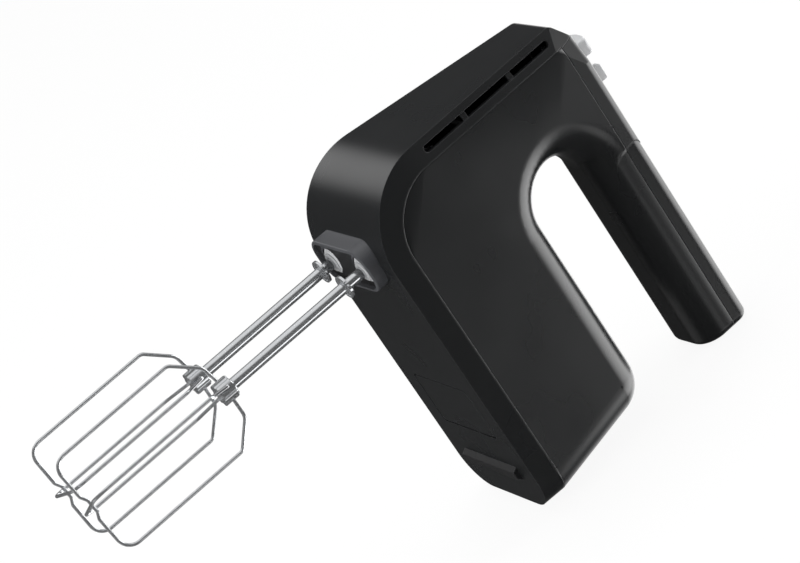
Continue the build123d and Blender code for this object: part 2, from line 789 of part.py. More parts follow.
with BuildPart() as housing_screws:
    for x in (-housing_screw_x, housing_screw_x):
        head_down = Plane(origin=(x, housing_screw_seat_y, hatch_middle_z), x_dir=(1, 0, 0), z_dir=(0, -1, 0))
        add(seat_screw(head_down, housing_screw_length))
housing_screws.part.label = "housing_screws"
export_step(housing_screws.part, "parts/housing_screws.step")

with BuildPart() as foot_bar:
    with BuildSketch(Plane.YZ):
        with BuildLine():
            Polyline(
                (underside_y + foot_bar_pocket, foot_bar_rear_z),
                (underside_y + foot_bar_pocket, foot_bar_front_z),
                (underside_y, foot_bar_front_z),
                (underside_y - foot_bar_drop, foot_bar_front_z - foot_bar_slant),
                (underside_y - foot_bar_drop, foot_bar_rear_z + foot_bar_toe),
                (underside_y, foot_bar_rear_z),
                close=True,
            )
        make_face()
    extrude(amount=foot_bar_half_width, both=True)
    fillet(foot_bar.faces().sort_by(Axis.Y)[0].edges(), foot_bar_edge)
foot_bar.part.label = "foot_bar"
export_step(foot_bar.part, "parts/foot_bar.step")

with BuildPart() as heel_foot:
    with BuildSketch(station(0)):
        RectangleRounded(2 * heel_half_width, 2 * heel_half_height, heel_radius)
    extrude(amount=rear_depth(0) + heel_pocket)
    chamfer(heel_foot.faces().sort_by(Axis.Z)[0].edges(), foot_bar_edge)
heel_foot.part.label = "heel_foot"
export_step(heel_foot.part, "parts/heel_foot.step")

# ------------------------------------------------------------------ gearbox
with BuildPart() as gearbox_frame:
    with BuildSketch(level(frame_bottom_y, 0, (frame_rear_z + frame_front_z) / 2)):
        Rectangle(2 * frame_half_width, frame_front_z - frame_rear_z)
    extrude(amount=plate_thickness)
    with BuildSketch(station(frame_rear_z)):
        with Locations((0, (frame_bottom_y + frame_top_y) / 2)):
            Rectangle(2 * frame_half_width, frame_top_y - frame_bottom_y)
    extrude(amount=plate_thickness)
    with BuildSketch(station(frame_front_z)):
        with Locations((0, (frame_bottom_y + frame_top_y) / 2)):
            Rectangle(2 * frame_front_half_width, frame_top_y - frame_bottom_y)
    extrude(amount=-frame_front_wall)
    # bosses for the cover screws
    with BuildSketch(level(frame_top_y)):
        with Locations([(x, -z) for x, z in cover_screw_places]):
            Circle(gearbox_boss_diameter / 2)
    extrude(amount=-gearbox_boss_height)
    with BuildSketch(level(frame_top_y)):
        with Locations([(x, -z) for x, z in cover_screw_places]):
            Circle(screw_diameter / 2 + running_clearance)
    extrude(amount=-gearbox_boss_height, mode=Mode.SUBTRACT)
    # lower bushes, feet screws, front bearing and the worm's way through the rear wall
    with BuildSketch(level(frame_bottom_y)):
        with Locations((-half_spacing, -shaft_z), (half_spacing, -shaft_z)):
            Circle(bush_diameter / 2)
        with Locations((-gearbox_post_x, -gearbox_post_z), (gearbox_post_x, -gearbox_post_z)):
            Circle(screw_diameter / 2 + running_clearance)
    extrude(amount=plate_thickness, mode=Mode.SUBTRACT)
    with BuildSketch(station(frame_rear_z, 0, gear_level_y)):
        Circle(worm_outer_radius + moving_gap)
    extrude(amount=plate_thickness, mode=Mode.SUBTRACT)
    with BuildSketch(station(frame_front_z, 0, gear_level_y)):
        Circle(bearing_diameter / 2)
    extrude(amount=-frame_front_wall, mode=Mode.SUBTRACT)
gearbox_frame.part.label = "gearbox_frame"
export_step(gearbox_frame.part, "parts/gearbox_frame.step")

with BuildPart() as gearbox_cover:
    with BuildSketch(level(frame_top_y, 0, (frame_rear_z + frame_front_z) / 2)):
        Rectangle(2 * frame_half_width, frame_front_z - frame_rear_z)
        for x, z in cover_screw_places:
            with Locations((x, (frame_rear_z + frame_front_z) / 2 - z)):
                Circle(gearbox_boss_diameter / 2)
    extrude(amount=plate_thickness)
    with BuildSketch(level(frame_top_y)):
        with Locations((-half_spacing, -shaft_z), (half_spacing, -shaft_z)):
            Circle(bush_diameter / 2)
        with Locations((0, -eject_z)):
            Circle(eject_guide_diameter / 2 + sliding_clearance)
        with Locations([(x, -z) for x, z in cover_screw_places]):
            Circle(screw_diameter / 2 + running_clearance)
    extrude(amount=plate_thickness, mode=Mode.SUBTRACT)
gearbox_cover.part.label = "gearbox_cover"
export_step(gearbox_cover.part, "parts/gearbox_cover.step")

with BuildPart() as gearbox_screws:
    for x, z in cover_screw_places:
        add(seat_screw(level(frame_top_y + plate_thickness, x, z), cover_screw_length))
    for x in (-gearbox_post_x, gearbox_post_x):
        add(seat_screw(level(frame_bottom_y + plate_thickness, x, gearbox_post_z), post_screw_length))
gearbox_screws.part.label = "gearbox_screws"
export_step(gearbox_screws.part, "parts/gearbox_screws.step")

with BuildPart() as spindle_bushes:
    for x in (-half_spacing, half_spacing):
        for start, inward in ((frame_bottom_y + plate_thickness, 1), (frame_top_y, -1)):
            with BuildSketch(level(start, x, shaft_z)):
                Circle(bush_diameter / 2)
            extrude(amount=-inward * plate_thickness)
            with BuildSketch(level(start, x, shaft_z)):
                Circle(bush_flange / 2)
            extrude(amount=inward * bush_flange_thickness)
    with BuildSketch(level(frame_bottom_y)):
        with Locations((-half_spacing, -shaft_z), (half_spacing, -shaft_z)):
            Circle(spindle_diameter / 2 + running_clearance)
    extrude(amount=frame_top_y + plate_thickness - frame_bottom_y, mode=Mode.SUBTRACT)
spindle_bushes.part.label = "spindle_bushes"
export_step(spindle_bushes.part, "parts/spindle_bushes.step")

# one straight-sided wheel tooth, leaning with the worm's thread
with BuildPart() as wheel_tooth:
    flank = tan(radians(pressure_angle))
    base_half = tooth_thickness / 2 + (wheel_pitch_radius - wheel_root_radius) * flank
    tip_half = tooth_thickness / 2 - (wheel_tip_radius - wheel_pitch_radius) * flank
    with BuildSketch(Plane.XY.offset(-wheel_face / 2)):
        lead_shift = wheel_face / 2 * tan(lead_angle)
        with BuildLine():
            Polyline(
                (wheel_root_radius - tooth_embed, -base_half - lead_shift),
                (wheel_root_radius, -base_half - lead_shift),
                (wheel_tip_radius, -tip_half - lead_shift),
                (wheel_tip_radius, tip_half - lead_shift),
                (wheel_root_radius, base_half - lead_shift),
                (wheel_root_radius - tooth_embed, base_half - lead_shift),
                close=True,
            )
        make_face()
    extrude(amount=wheel_face / cos(lead_angle), dir=(0, sin(lead_angle), cos(lead_angle)))

with BuildPart(level(gear_level_y, half_spacing, shaft_z)) as left_worm_wheel:
    Cylinder(wheel_root_radius, wheel_face)
    Cylinder(wheel_hub_diameter / 2, wheel_hub_length)
    with PolarLocations(0, wheel_teeth, start_angle=tooth_pitch_angle / 2):
        add(wheel_tooth.part)
    Cylinder(spindle_diameter / 2, wheel_hub_length, mode=Mode.SUBTRACT)
left_worm_wheel.part.label = "left_worm_wheel"
export_step(left_worm_wheel.part, "parts/left_worm_wheel.step")

with BuildPart(level(gear_level_y, -half_spacing, shaft_z)) as right_worm_wheel:
    Cylinder(wheel_root_radius, wheel_face)
    Cylinder(wheel_hub_diameter / 2, wheel_hub_length)
    with PolarLocations(0, wheel_teeth):
        add(wheel_tooth.part)
    Cylinder(spindle_diameter / 2, wheel_hub_length, mode=Mode.SUBTRACT)
right_worm_wheel.part.label = "right_worm_wheel"
export_step(right_worm_wheel.part, "parts/right_worm_wheel.step")


def spindle_solid(x, turn):
    """Hollow drive spindle with a cross slot in its mouth, turned about its axis."""
    with BuildPart() as spindle:
        with BuildSketch(level(spindle_mouth_y, x, shaft_z)):
            RegularPolygon(spindle_flange_diameter / 2, spindle_flange_sides, rotation=turn)
        extrude(amount=spindle_flange)
        chamfer(spindle.faces().sort_by(Axis.Y)[0].edges(), spindle_flange / 3)
        with BuildSketch(level(spindle_mouth_y, x, shaft_z)):
            Circle(spindle_diameter / 2)
        extrude(amount=spindle_top_y - spindle_mouth_y)
        with BuildSketch(level(spindle_mouth_y, x, shaft_z)):
            Circle(spindle_bore / 2)
        extrude(amount=spindle_top_y - spindle_mouth_y, mode=Mode.SUBTRACT)
        with BuildSketch(level(spindle_mouth_y, x, shaft_z)):
            for quarter in (0, 90):
                Rectangle(2 * drive_slot_radius, drive_slot_width, rotation=turn + quarter)
        extrude(amount=drive_slot_depth, mode=Mode.SUBTRACT)
    return spindle.part


with BuildPart() as left_spindle:
    add(spindle_solid(half_spacing, beater_turn_left))
left_spindle.part.label = "left_spindle"
export_step(left_spindle.part, "parts/left_spindle.step")

with BuildPart() as right_spindle:
    add(spindle_solid(-half_spacing, beater_turn_right))
right_spindle.part.label = "right_spindle"
export_step(right_spindle.part, "parts/right_spindle.step")

# ------------------------------------------------------------------ motor
with BuildPart() as motor_shaft:
    with BuildSketch(station(motor_shaft_rear_z, 0, gear_level_y)):
        Circle(motor_shaft_diameter / 2)
    extrude(amount=motor_shaft_front_z - motor_shaft_rear_z)
    thread_start_z = shaft_z - worm_turns * worm_lead / 2
    with BuildLine():
        thread_path = Helix(
            pitch=worm_lead,
            height=worm_turns * worm_lead,
            radius=worm_pitch_radius,
            center=(0, gear_level_y, thread_start_z),
        )
    with BuildSketch(Plane(origin=thread_path @ 0, x_dir=(1, 0, 0), z_dir=(0, -1, 0))):
        inner_half = tooth_thickness / 2 + (worm_pitch_radius - motor_shaft_diameter / 2 + thread_embed) * flank
        outer_half = tooth_thickness / 2 - (worm_outer_radius - worm_pitch_radius) * flank
        inner_reach = motor_shaft_diameter / 2 - thread_embed - worm_pitch_radius
        outer_reach = worm_outer_radius - worm_pitch_radius
        with BuildLine():
            Polyline(
                (inner_reach, -inner_half),
                (outer_reach, -outer_half),
                (outer_reach, outer_half),
                (inner_reach, inner_half),
                close=True,
            )
        make_face()
    sweep(path=thread_path, is_frenet=True)
motor_shaft.part.label = "motor_shaft"
export_step(motor_shaft.part, "parts/motor_shaft.step")

with BuildPart() as motor_can:
    with BuildSketch(station(motor_rear_z, 0, gear_level_y)):
        Circle(motor_diameter / 2)
        Circle(motor_diameter / 2 - motor_wall, mode=Mode.SUBTRACT)
    extrude(amount=motor_front_z - motor_rear_z)
    with BuildSketch(station(motor_front_z, 0, gear_level_y)):
        Circle(motor_diameter / 2)
    extrude(amount=-motor_wall)
    with BuildSketch(station(motor_front_z, 0, gear_level_y)):
        Circle(motor_boss_diameter / 2)
    extrude(amount=frame_rear_z - motor_front_z)
    with BuildSketch(station(frame_rear_z, 0, gear_level_y)):
        Circle(bearing_diameter / 2)
    extrude(amount=-bearing_width - motor_wall / 2, mode=Mode.SUBTRACT)
    with BuildSketch(station(frame_rear_z, 0, gear_level_y)):
        Circle(motor_shaft_diameter / 2 + moving_gap)
    extrude(amount=motor_front_z - frame_rear_z - motor_wall, mode=Mode.SUBTRACT)
    # cooling windows at the front end
    with BuildSketch(station(motor_front_z - 2 * motor_wall, 0, gear_level_y)):
        for turn in (0, 90):
            Rectangle(motor_diameter + motor_wall, can_window_width, rotation=45 + turn)
    extrude(amount=-can_window_length, mode=Mode.SUBTRACT)
motor_can.part.label = "motor_can"
export_step(motor_can.part, "parts/motor_can.step")

with BuildPart() as motor_end_cap:
    with BuildSketch(station(motor_rear_z - end_cap_thickness, 0, gear_level_y)):
        Circle(motor_diameter / 2)
        Circle(motor_shaft_diameter / 2 + moving_gap, mode=Mode.SUBTRACT)
        with PolarLocations(end_cap_vent_circle, end_cap_vents, start_angle=180 / end_cap_vents):
            Circle(end_cap_vent / 2, mode=Mode.SUBTRACT)
    extrude(amount=end_cap_thickness)
    with BuildSketch(station(motor_rear_z - end_cap_thickness, 0, gear_level_y)):
        Circle(bearing_diameter / 2)
    extrude(amount=bearing_width, mode=Mode.SUBTRACT)
    # brush holders
    with BuildSketch(station(motor_rear_z, 0, gear_level_y)):
        with Locations((-brush_middle_x, 0), (brush_middle_x, 0)):
            Rectangle(brush_length - brush_reach, brush_width + 2 * motor_wall)
    extrude(amount=brush_z - motor_rear_z + brush_height / 2 + motor_wall)
    with BuildSketch(station(brush_z - brush_height / 2, 0, gear_level_y)):
        with Locations((-brush_middle_x, 0), (brush_middle_x, 0)):
            Rectangle(brush_length, brush_width)
    extrude(amount=brush_height, mode=Mode.SUBTRACT)
motor_end_cap.part.label = "motor_end_cap"
export_step(motor_end_cap.part, "parts/motor_end_cap.step")

with BuildPart() as brushes:
    with BuildSketch(station(brush_z - brush_height / 2, 0, gear_level_y)):
        with Locations((-brush_middle_x, 0), (brush_middle_x, 0)):
            Rectangle(brush_length, brush_width)
        Circle(commutator_diameter / 2 + running_clearance, mode=Mode.SUBTRACT)
    extrude(amount=brush_height)
brushes.part.label = "brushes"
export_step(brushes.part, "parts/brushes.step")

with BuildPart() as motor_bearings:
    for rear_z in (motor_rear_z - end_cap_thickness, frame_rear_z - bearing_width, frame_front_z - frame_front_wall):
        with BuildSketch(station(rear_z, 0, gear_level_y)):
            Circle(bearing_diameter / 2)
            Circle(motor_shaft_diameter / 2 + running_clearance, mode=Mode.SUBTRACT)
        extrude(amount=bearing_width)
motor_bearings.part.label = "motor_bearings"
export_step(motor_bearings.part, "parts/motor_bearings.step")

with BuildPart() as motor_magnets:
    with BuildSketch(station(core_rear_z - magnet_overlap, 0, gear_level_y)):
        Circle(motor_diameter / 2 - motor_wall)
        Circle(motor_diameter / 2 - motor_wall - magnet_thickness, mode=Mode.SUBTRACT)
        Rectangle(motor_diameter, pole_gap, mode=Mode.SUBTRACT)
    extrude(amount=core_length + 2 * magnet_overlap)
motor_magnets.part.label = "motor_magnets"
export_step(motor_magnets.part, "parts/motor_magnets.step")

with BuildPart() as armature_core:
    with BuildSketch(station(core_rear_z, 0, gear_level_y)):
        Circle(core_radius)
        Circle(motor_shaft_diameter / 2, mode=Mode.SUBTRACT)
        with PolarLocations(slot_circle, core_slots):
            Circle(slot_bore / 2, mode=Mode.SUBTRACT)
        with PolarLocations((slot_circle + core_radius) / 2 + slot_mouth / 4, core_slots):
            Rectangle(core_radius - slot_circle + slot_mouth, slot_mouth, mode=Mode.SUBTRACT)
    extrude(amount=core_length)
armature_core.part.label = "armature_core"
export_step(armature_core.part, "parts/armature_core.step")

with BuildPart() as windings:
    with BuildSketch(station(core_rear_z - winding_overhang / 2, 0, gear_level_y)):
        with PolarLocations(slot_circle, core_slots):
            Circle(slot_bore / 2 - sliding_clearance)
    extrude(amount=core_length + winding_overhang)
    for rear_z in (core_rear_z - winding_overhang, core_rear_z + core_length):
        with BuildSketch(station(rear_z, 0, gear_level_y)):
            Circle(slot_circle + slot_bore / 2 + slot_mouth / 4)
            Circle(slot_circle - slot_bore / 2 - slot_mouth / 4, mode=Mode.SUBTRACT)
        extrude(amount=winding_overhang)
windings.part.label = "windings"
export_step(windings.part, "parts/windings.step")

with BuildPart() as commutator:
    with BuildSketch(station(commutator_rear_z, 0, gear_level_y)):
        Circle(commutator_diameter / 2)
        Circle(motor_shaft_diameter / 2, mode=Mode.SUBTRACT)
        with PolarLocations(commutator_diameter / 2, core_slots):
            Rectangle(commutator_groove, commutator_groove / 2, mode=Mode.SUBTRACT)
    extrude(amount=commutator_length)
commutator.part.label = "commutator"
export_step(commutator.part, "parts/commutator.step")

with BuildPart() as cooling_fan:
    with BuildSketch(station(fan_rear_z, 0, gear_level_y)):
        Circle(fan_diameter / 2)
    extrude(amount=blade_thickness)
    with BuildSketch(station(fan_rear_z, 0, gear_level_y)):
        Circle(fan_hub_diameter / 2)
        with PolarLocations((fan_diameter + fan_hub_diameter) / 4, fan_blades, rotate=True):
            Rectangle((fan_diameter - fan_hub_diameter) / 2 - blade_thickness, blade_thickness, rotation=blade_angle)
    extrude(amount=fan_width)
    with BuildSketch(station(fan_rear_z, 0, gear_level_y)):
        Circle(motor_shaft_diameter / 2)
    extrude(amount=fan_width, mode=Mode.SUBTRACT)
cooling_fan.part.label = "cooling_fan"
export_step(cooling_fan.part, "parts/cooling_fan.step")

# ------------------------------------------------------------------ battery and charging
cell_places = [
    (cell_middle_y + row * cell_pitch / 2, cell_middle_z + column * cell_pitch / 2)
    for row in (-1, 1)
    for column in (-1, 1)
]
with BuildPart() as battery_holder:
    for x in (-holder_plate_x, holder_plate_x):
        with BuildSketch(Plane.YZ.offset(x)):
            with Locations(((holder_bottom_y + holder_top_y) / 2, (holder_rear_z + holder_front_z) / 2)):
                Rectangle(holder_top_y - holder_bottom_y, holder_front_z - holder_rear_z)
            with Locations(cell_places):
                Circle(cell_diameter / 2 + sliding_clearance, mode=Mode.SUBTRACT)
        extrude(amount=holder_plate_thickness / 2, both=True)
    for start in (holder_bottom_y, holder_top_y - holder_strip):
        with BuildSketch(level(start, 0, cell_middle_z)):
            Rectangle(2 * holder_plate_x, holder_strip_length)
        extrude(amount=holder_strip)
battery_holder.part.label = "battery_holder"
export_step(battery_holder.part, "parts/battery_holder.step")

with BuildPart() as battery_cells:
    with BuildSketch(Plane.YZ):
        with Locations(cell_places):
            Circle(cell_diameter / 2)
    extrude(amount=cell_length / 2, both=True)
battery_cells.part.label = "battery_cells"
export_step(battery_cells.part, "parts/battery_cells.step")

with BuildPart() as cell_links:
    for side in sides.values():
        with BuildSketch(Plane.YZ.offset(side * cell_length / 2)):
            for column in (-1, 1):
                with Locations((cell_middle_y, cell_middle_z + column * cell_pitch / 2)):
                    SlotOverall(cell_pitch + cell_link_width, cell_link_width)
        extrude(amount=side * cell_link_thickness)
cell_links.part.label = "cell_links"
export_step(cell_links.part, "parts/cell_links.step")

with BuildPart() as charge_board:
    with BuildSketch(level(holder_top_y, 0, charge_board_middle_z)):
        Rectangle(charge_board_width, charge_board_length)
    extrude(amount=board_thickness)
charge_board.part.label = "charge_board"
export_step(charge_board.part, "parts/charge_board.step")

with BuildPart() as charge_socket:
    with BuildSketch(station(charge_socket_rear_z, 0, charge_axis_y)):
        Rectangle(charge_socket_width, charge_socket_height)
    extrude(amount=charge_socket_length)
    with BuildSketch(station(charge_socket_rear_z, 0, charge_axis_y)):
        Circle(charge_nose_diameter / 2)
    extrude(amount=rear_depth(charge_axis_y) + panel_gap - charge_socket_rear_z)
    with BuildSketch(station(rear_depth(charge_axis_y), 0, charge_axis_y)):
        Circle(charge_bore / 2)
        Circle(charge_pin / 2, mode=Mode.SUBTRACT)
    extrude(amount=charge_socket_length, mode=Mode.SUBTRACT)
charge_socket.part.label = "charge_socket"
export_step(charge_socket.part, "parts/charge_socket.step")

# ------------------------------------------------------------------ controls
with BuildPart() as control_board:
    with BuildSketch(level(board_y, 0, (board_rear_z + board_front_z) / 2)):
        Rectangle(2 * board_half_width, board_front_z - board_rear_z)
    extrude(amount=board_thickness)
control_board.part.label = "control_board"
export_step(control_board.part, "parts/control_board.step")

with BuildPart() as speed_switch:
    with BuildSketch(level(board_y + board_thickness, 0, (slider_slot_front + slider_slot_rear) / 2)):
        Rectangle(2 * switch_half_width, slider_slot_front - slider_slot_rear + 2 * switch_margin)
    extrude(amount=switch_height)
    with BuildSketch(level(board_y + board_thickness + switch_height, 0, (slider_slot_front + slider_slot_rear) / 2)):
        Rectangle(2 * (slider_stem_half_width + moving_gap), slider_slot_front - slider_slot_rear)
    extrude(amount=-switch_height / 2, mode=Mode.SUBTRACT)
speed_switch.part.label = "speed_switch"
export_step(speed_switch.part, "parts/speed_switch.step")

with BuildPart() as speed_slider:
    with BuildSketch(Plane.YZ) as key_profile:
        with Locations(((handle_top_y + moving_gap + slider_top_y) / 2, slider_z)):
            Rectangle(slider_top_y - handle_top_y - moving_gap, slider_length)
        crowns = key_profile.vertices().group_by(Axis.Y)[-1].sort_by(Axis.Z)
        fillet(crowns[0], key_corner * 2)
        fillet(key_profile.vertices().group_by(Axis.Y)[-1].sort_by(Axis.Z)[-1], key_corner / 2)
    extrude(amount=slider_half_width, both=True)
    with BuildSketch(level(stem_end_y, 0, slider_z)):
        Rectangle(2 * slider_stem_half_width, slider_stem_length)
    extrude(amount=handle_top_y + 2 * moving_gap - stem_end_y)
    with BuildSketch(level(cover_inner_y - moving_gap, 0, slider_z)):
        Rectangle(2 * slider_flange_half_width, slider_length)
    extrude(amount=-slider_flange_thickness)
speed_slider.part.label = "speed_slider"
export_step(speed_slider.part, "parts/speed_slider.step")

with BuildPart() as eject_button:
    with BuildSketch(station(eject_z - eject_key_length / 2)):
        with BuildLine():
            Polyline(
                (-eject_key_half_width, eject_key_top_y),
                (-eject_key_half_width, eject_flange_y),
                (eject_key_half_width, eject_flange_y),
                (eject_key_half_width, eject_key_top_y),
            )
            ThreePointArc(
                (eject_key_half_width, eject_key_top_y),
                (0, eject_key_top_y + eject_key_crown),
                (-eject_key_half_width, eject_key_top_y),
            )
        make_face()
    extrude(amount=eject_key_length)
    fillet(eject_button.edges().filter_by(Axis.Y), key_corner)
    fillet(eject_button.faces().sort_by(Axis.Y)[-1].edges(), key_corner / 2)
    with BuildSketch(level(eject_flange_y, 0, eject_z)):
        Rectangle(2 * (eject_key_half_width + key_flange), eject_key_length + 2 * key_flange)
    extrude(amount=key_flange)
    with BuildSketch(level(eject_flange_y, 0, eject_z)):
        Circle(eject_rod_diameter / 2)
    extrude(amount=eject_rod_socket, mode=Mode.SUBTRACT)
eject_button.part.label = "eject_button"
export_step(eject_button.part, "parts/eject_button.step")

with BuildPart() as eject_rod:
    with BuildSketch(level(ejector_plate_y + ejector_plate_thickness, 0, eject_z)):
        Circle(eject_rod_diameter / 2)
    extrude(amount=eject_flange_y + eject_rod_socket - ejector_plate_y - ejector_plate_thickness)
    with BuildSketch(level(ejector_plate_y + ejector_plate_thickness, 0, eject_z)):
        Circle(eject_guide_diameter / 2)
    extrude(amount=-eject_guide_length)
eject_rod.part.label = "eject_rod"
export_step(eject_rod.part, "parts/eject_rod.step")

with BuildPart() as ejector_plate:
    with BuildSketch(level(ejector_plate_y, 0, (eject_z + shaft_z) / 2)):
        RectangleRounded(shaft_spacing + 2 * spindle_bore, eject_z - shaft_z + 2 * spindle_bore, spindle_bore / 2)
    extrude(amount=ejector_plate_thickness)
    with BuildSketch(level(ejector_plate_y, 0, eject_z)):
        Circle(eject_guide_diameter / 2)
    extrude(amount=ejector_plate_thickness, mode=Mode.SUBTRACT)
ejector_plate.part.label = "ejector_plate"
export_step(ejector_plate.part, "parts/ejector_plate.step")

with BuildPart() as eject_spring:
    spring_bottom_y = frame_top_y + plate_thickness + spring_wire / 2
    spring_length = ejector_plate_y - frame_top_y - plate_thickness - spring_wire
    with BuildLine():
        coil = Helix(
            pitch=spring_length / spring_turns,
            height=spring_length,
            radius=spring_diameter / 2,
            center=(0, spring_bottom_y, eject_z),
            direction=(0, 1, 0),
        )
    with BuildSketch(Plane(origin=coil @ 0, z_dir=coil % 0)):
        Circle(spring_wire / 2)
    sweep(path=coil, is_frenet=True)
eject_spring.part.label = "eject_spring"
export_step(eject_spring.part, "parts/eject_spring.step")

with BuildPart() as left_ejector_pin:
    with BuildSketch(level(beater_top_y + panel_gap, half_spacing, shaft_z)):
        Circle(spindle_bore / 2 - sliding_clearance)
    extrude(amount=ejector_plate_y - beater_top_y - 2 * panel_gap)
left_ejector_pin.part.label = "left_ejector_pin"
export_step(left_ejector_pin.part, "parts/left_ejector_pin.step")

with BuildPart() as right_ejector_pin:
    with BuildSketch(level(beater_top_y + panel_gap, -half_spacing, shaft_z)):
        Circle(spindle_bore / 2 - sliding_clearance)
    extrude(amount=ejector_plate_y - beater_top_y - 2 * panel_gap)
right_ejector_pin.part.label = "right_ejector_pin"
export_step(right_ejector_pin.part, "parts/right_ejector_pin.step")


# ------------------------------------------------------------------ beaters
def beater_shaft(x, turn):
    """Round beater shaft with four drive ears inside the spindle mouth."""
    with BuildPart() as shaft:
        with BuildSketch(level(hub_bottom_y, x, shaft_z)):
            Circle(beater_shaft_diameter / 2)
        extrude(amount=beater_top_y - hub_bottom_y)
        chamfer(shaft.faces().sort_by(Axis.Y)[-1].edges(), beater_shaft_diameter / 6)
        with BuildSketch(level(spindle_mouth_y + panel_gap, x, shaft_z)):
            for quarter in (0, 90):
                Rectangle(2 * ear_radius, ear_thickness, rotation=turn + quarter)
        extrude(amount=drive_slot_depth - 2 * panel_gap)
    return shaft.part


def beater_collar(x, y, turn):
    """Thin collar with two notches, pressed onto the shaft at height y."""
    with BuildPart() as collar:
        with BuildSketch(level(y, x, shaft_z)):
            Circle(collar_diameter / 2)
            Circle(beater_shaft_diameter / 2, mode=Mode.SUBTRACT)
            with PolarLocations(collar_diameter / 2, 2, start_angle=turn):
                Circle(collar_notch / 2, mode=Mode.SUBTRACT)
        extrude(amount=collar_thickness)
        with BuildSketch(level(y, x, shaft_z)):
            Circle(collar_diameter / 2 - collar_rim)
            Circle(beater_shaft_diameter / 2 + collar_rim, mode=Mode.SUBTRACT)
        extrude(amount=collar_dish, mode=Mode.SUBTRACT)
    return collar.part


def beater_hub(x, turn):
    """Die-cast hub with four lobes; the loops' ends sit in slots open towards the cage."""
    with BuildPart() as hub:
        with BuildSketch(level(hub_bottom_y, x, shaft_z)):
            Circle(hub_diameter / 2)
            with PolarLocations(hub_diameter / 2 + hub_flute / 2, 4, start_angle=turn + 45):
                Circle(hub_flute, mode=Mode.SUBTRACT)
        extrude(amount=hub_top_y - hub_bottom_y)
        fillet(hub.faces().sort_by(Axis.Y)[-1].edges(), hub_edge)
        with BuildSketch(level(hub_bottom_y, x, shaft_z)):
            Circle(beater_shaft_diameter / 2)
        extrude(amount=hub_top_y - hub_bottom_y, mode=Mode.SUBTRACT)
        with BuildSketch(level(hub_bottom_y, x, shaft_z)):
            for quarter in (0, 90):
                Rectangle(2 * hub_diameter, wire_diameter + 2 * running_clearance, rotation=turn + quarter)
            Circle(wire_root_radius - 3 * running_clearance, mode=Mode.SUBTRACT)
        extrude(amount=wire_root_y + wire_diameter / 2 + running_clearance - hub_bottom_y, mode=Mode.SUBTRACT)
    return hub.part


def beater_loop(x, turn, hop):
    """One wire loop in a plane through the beater's axis; hop lifts its crossing at the bottom."""
    out = Vector(cos(radians(turn)), 0, -sin(radians(turn)))
    plane = Plane(origin=(x, 0, shaft_z), x_dir=out, z_dir=out.cross(Vector(0, 1, 0)))
    half = [
        (wire_root_radius, wire_root_y),
        (cage_neck_radius, cage_neck_y),
        (cage_radius, cage_shoulder_y),
        (cage_radius, cage_bottom_y),
    ]
    crossing = [(2 * hop_half_width, cage_bottom_y), (hop_half_width, cage_bottom_y + hop)] if hop else []
    points = half + crossing
    points += [(-r, y) for r, y in reversed(points)]
    radii = {cage_neck_y: neck_bend, cage_shoulder_y: shoulder_bend}
    with BuildPart() as loop:
        with BuildLine(plane) as route:
            Polyline(*points)
            for r, y in points[1:-1]:
                corner = route.vertices().sort_by_distance(plane.from_local_coords(Vector(r, y, 0)))[0]
                bend = radii.get(y, foot_bend if abs(r) == cage_radius else hop_bend)
                fillet(corner, bend)
        wire = route.wires()[0]
        with BuildSketch(Plane(origin=wire @ 0, z_dir=wire % 0)):
            Circle(wire_diameter / 2)
        sweep(path=wire)
    return loop.part


with BuildPart() as left_beater_shaft:
    add(beater_shaft(half_spacing, beater_turn_left))
left_beater_shaft.part.label = "left_beater_shaft"
export_step(left_beater_shaft.part, "parts/left_beater_shaft.step")

with BuildPart() as left_beater_collar:
    add(beater_collar(half_spacing, left_collar_y, beater_turn_left))
left_beater_collar.part.label = "left_beater_collar"
export_step(left_beater_collar.part, "parts/left_beater_collar.step")

with BuildPart() as left_beater_hub:
    add(beater_hub(half_spacing, beater_turn_left))
left_beater_hub.part.label = "left_beater_hub"
export_step(left_beater_hub.part, "parts/left_beater_hub.step")

with BuildPart() as left_loop_a:
    add(beater_loop(half_spacing, beater_turn_left + loop_angle, cage_hop))
left_loop_a.part.label = "left_loop_a"
export_step(left_loop_a.part, "parts/left_loop_a.step")

with BuildPart() as left_loop_b:
    add(beater_loop(half_spacing, beater_turn_left, 0))
left_loop_b.part.label = "left_loop_b"
export_step(left_loop_b.part, "parts/left_loop_b.step")

with BuildPart() as right_beater_shaft:
    add(beater_shaft(-half_spacing, beater_turn_right))
right_beater_shaft.part.label = "right_beater_shaft"
export_step(right_beater_shaft.part, "parts/right_beater_shaft.step")

with BuildPart() as right_beater_collar:
    add(beater_collar(-half_spacing, right_collar_y, beater_turn_right))
right_beater_collar.part.label = "right_beater_collar"
export_step(right_beater_collar.part, "parts/right_beater_collar.step")

with BuildPart() as right_beater_hub:
    add(beater_hub(-half_spacing, beater_turn_right))
right_beater_hub.part.label = "right_beater_hub"
export_step(right_beater_hub.part, "parts/right_beater_hub.step")

with BuildPart() as right_loop_a:
    add(beater_loop(-half_spacing, beater_turn_right + loop_angle, cage_hop))
right_loop_a.part.label = "right_loop_a"
export_step(right_loop_a.part, "parts/right_loop_a.step")

with BuildPart() as right_loop_b:
    add(beater_loop(-half_spacing, beater_turn_right, 0))
right_loop_b.part.label = "right_loop_b"
export_step(right_loop_b.part, "parts/right_loop_b.step")
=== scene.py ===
"""Cordless hand mixer: finishes and fine pieces fitted to its CAD frame, in metres.

The mixer stands on its heel: +Z runs from the heel to the nose, +Y from the beaters to the handle and
+X to the mixer's left.
"""
import logging
import math
from dataclasses import dataclass, field
from enum import Enum
from typing import Any

import bmesh
import bpy
from mathutils import Matrix, Vector


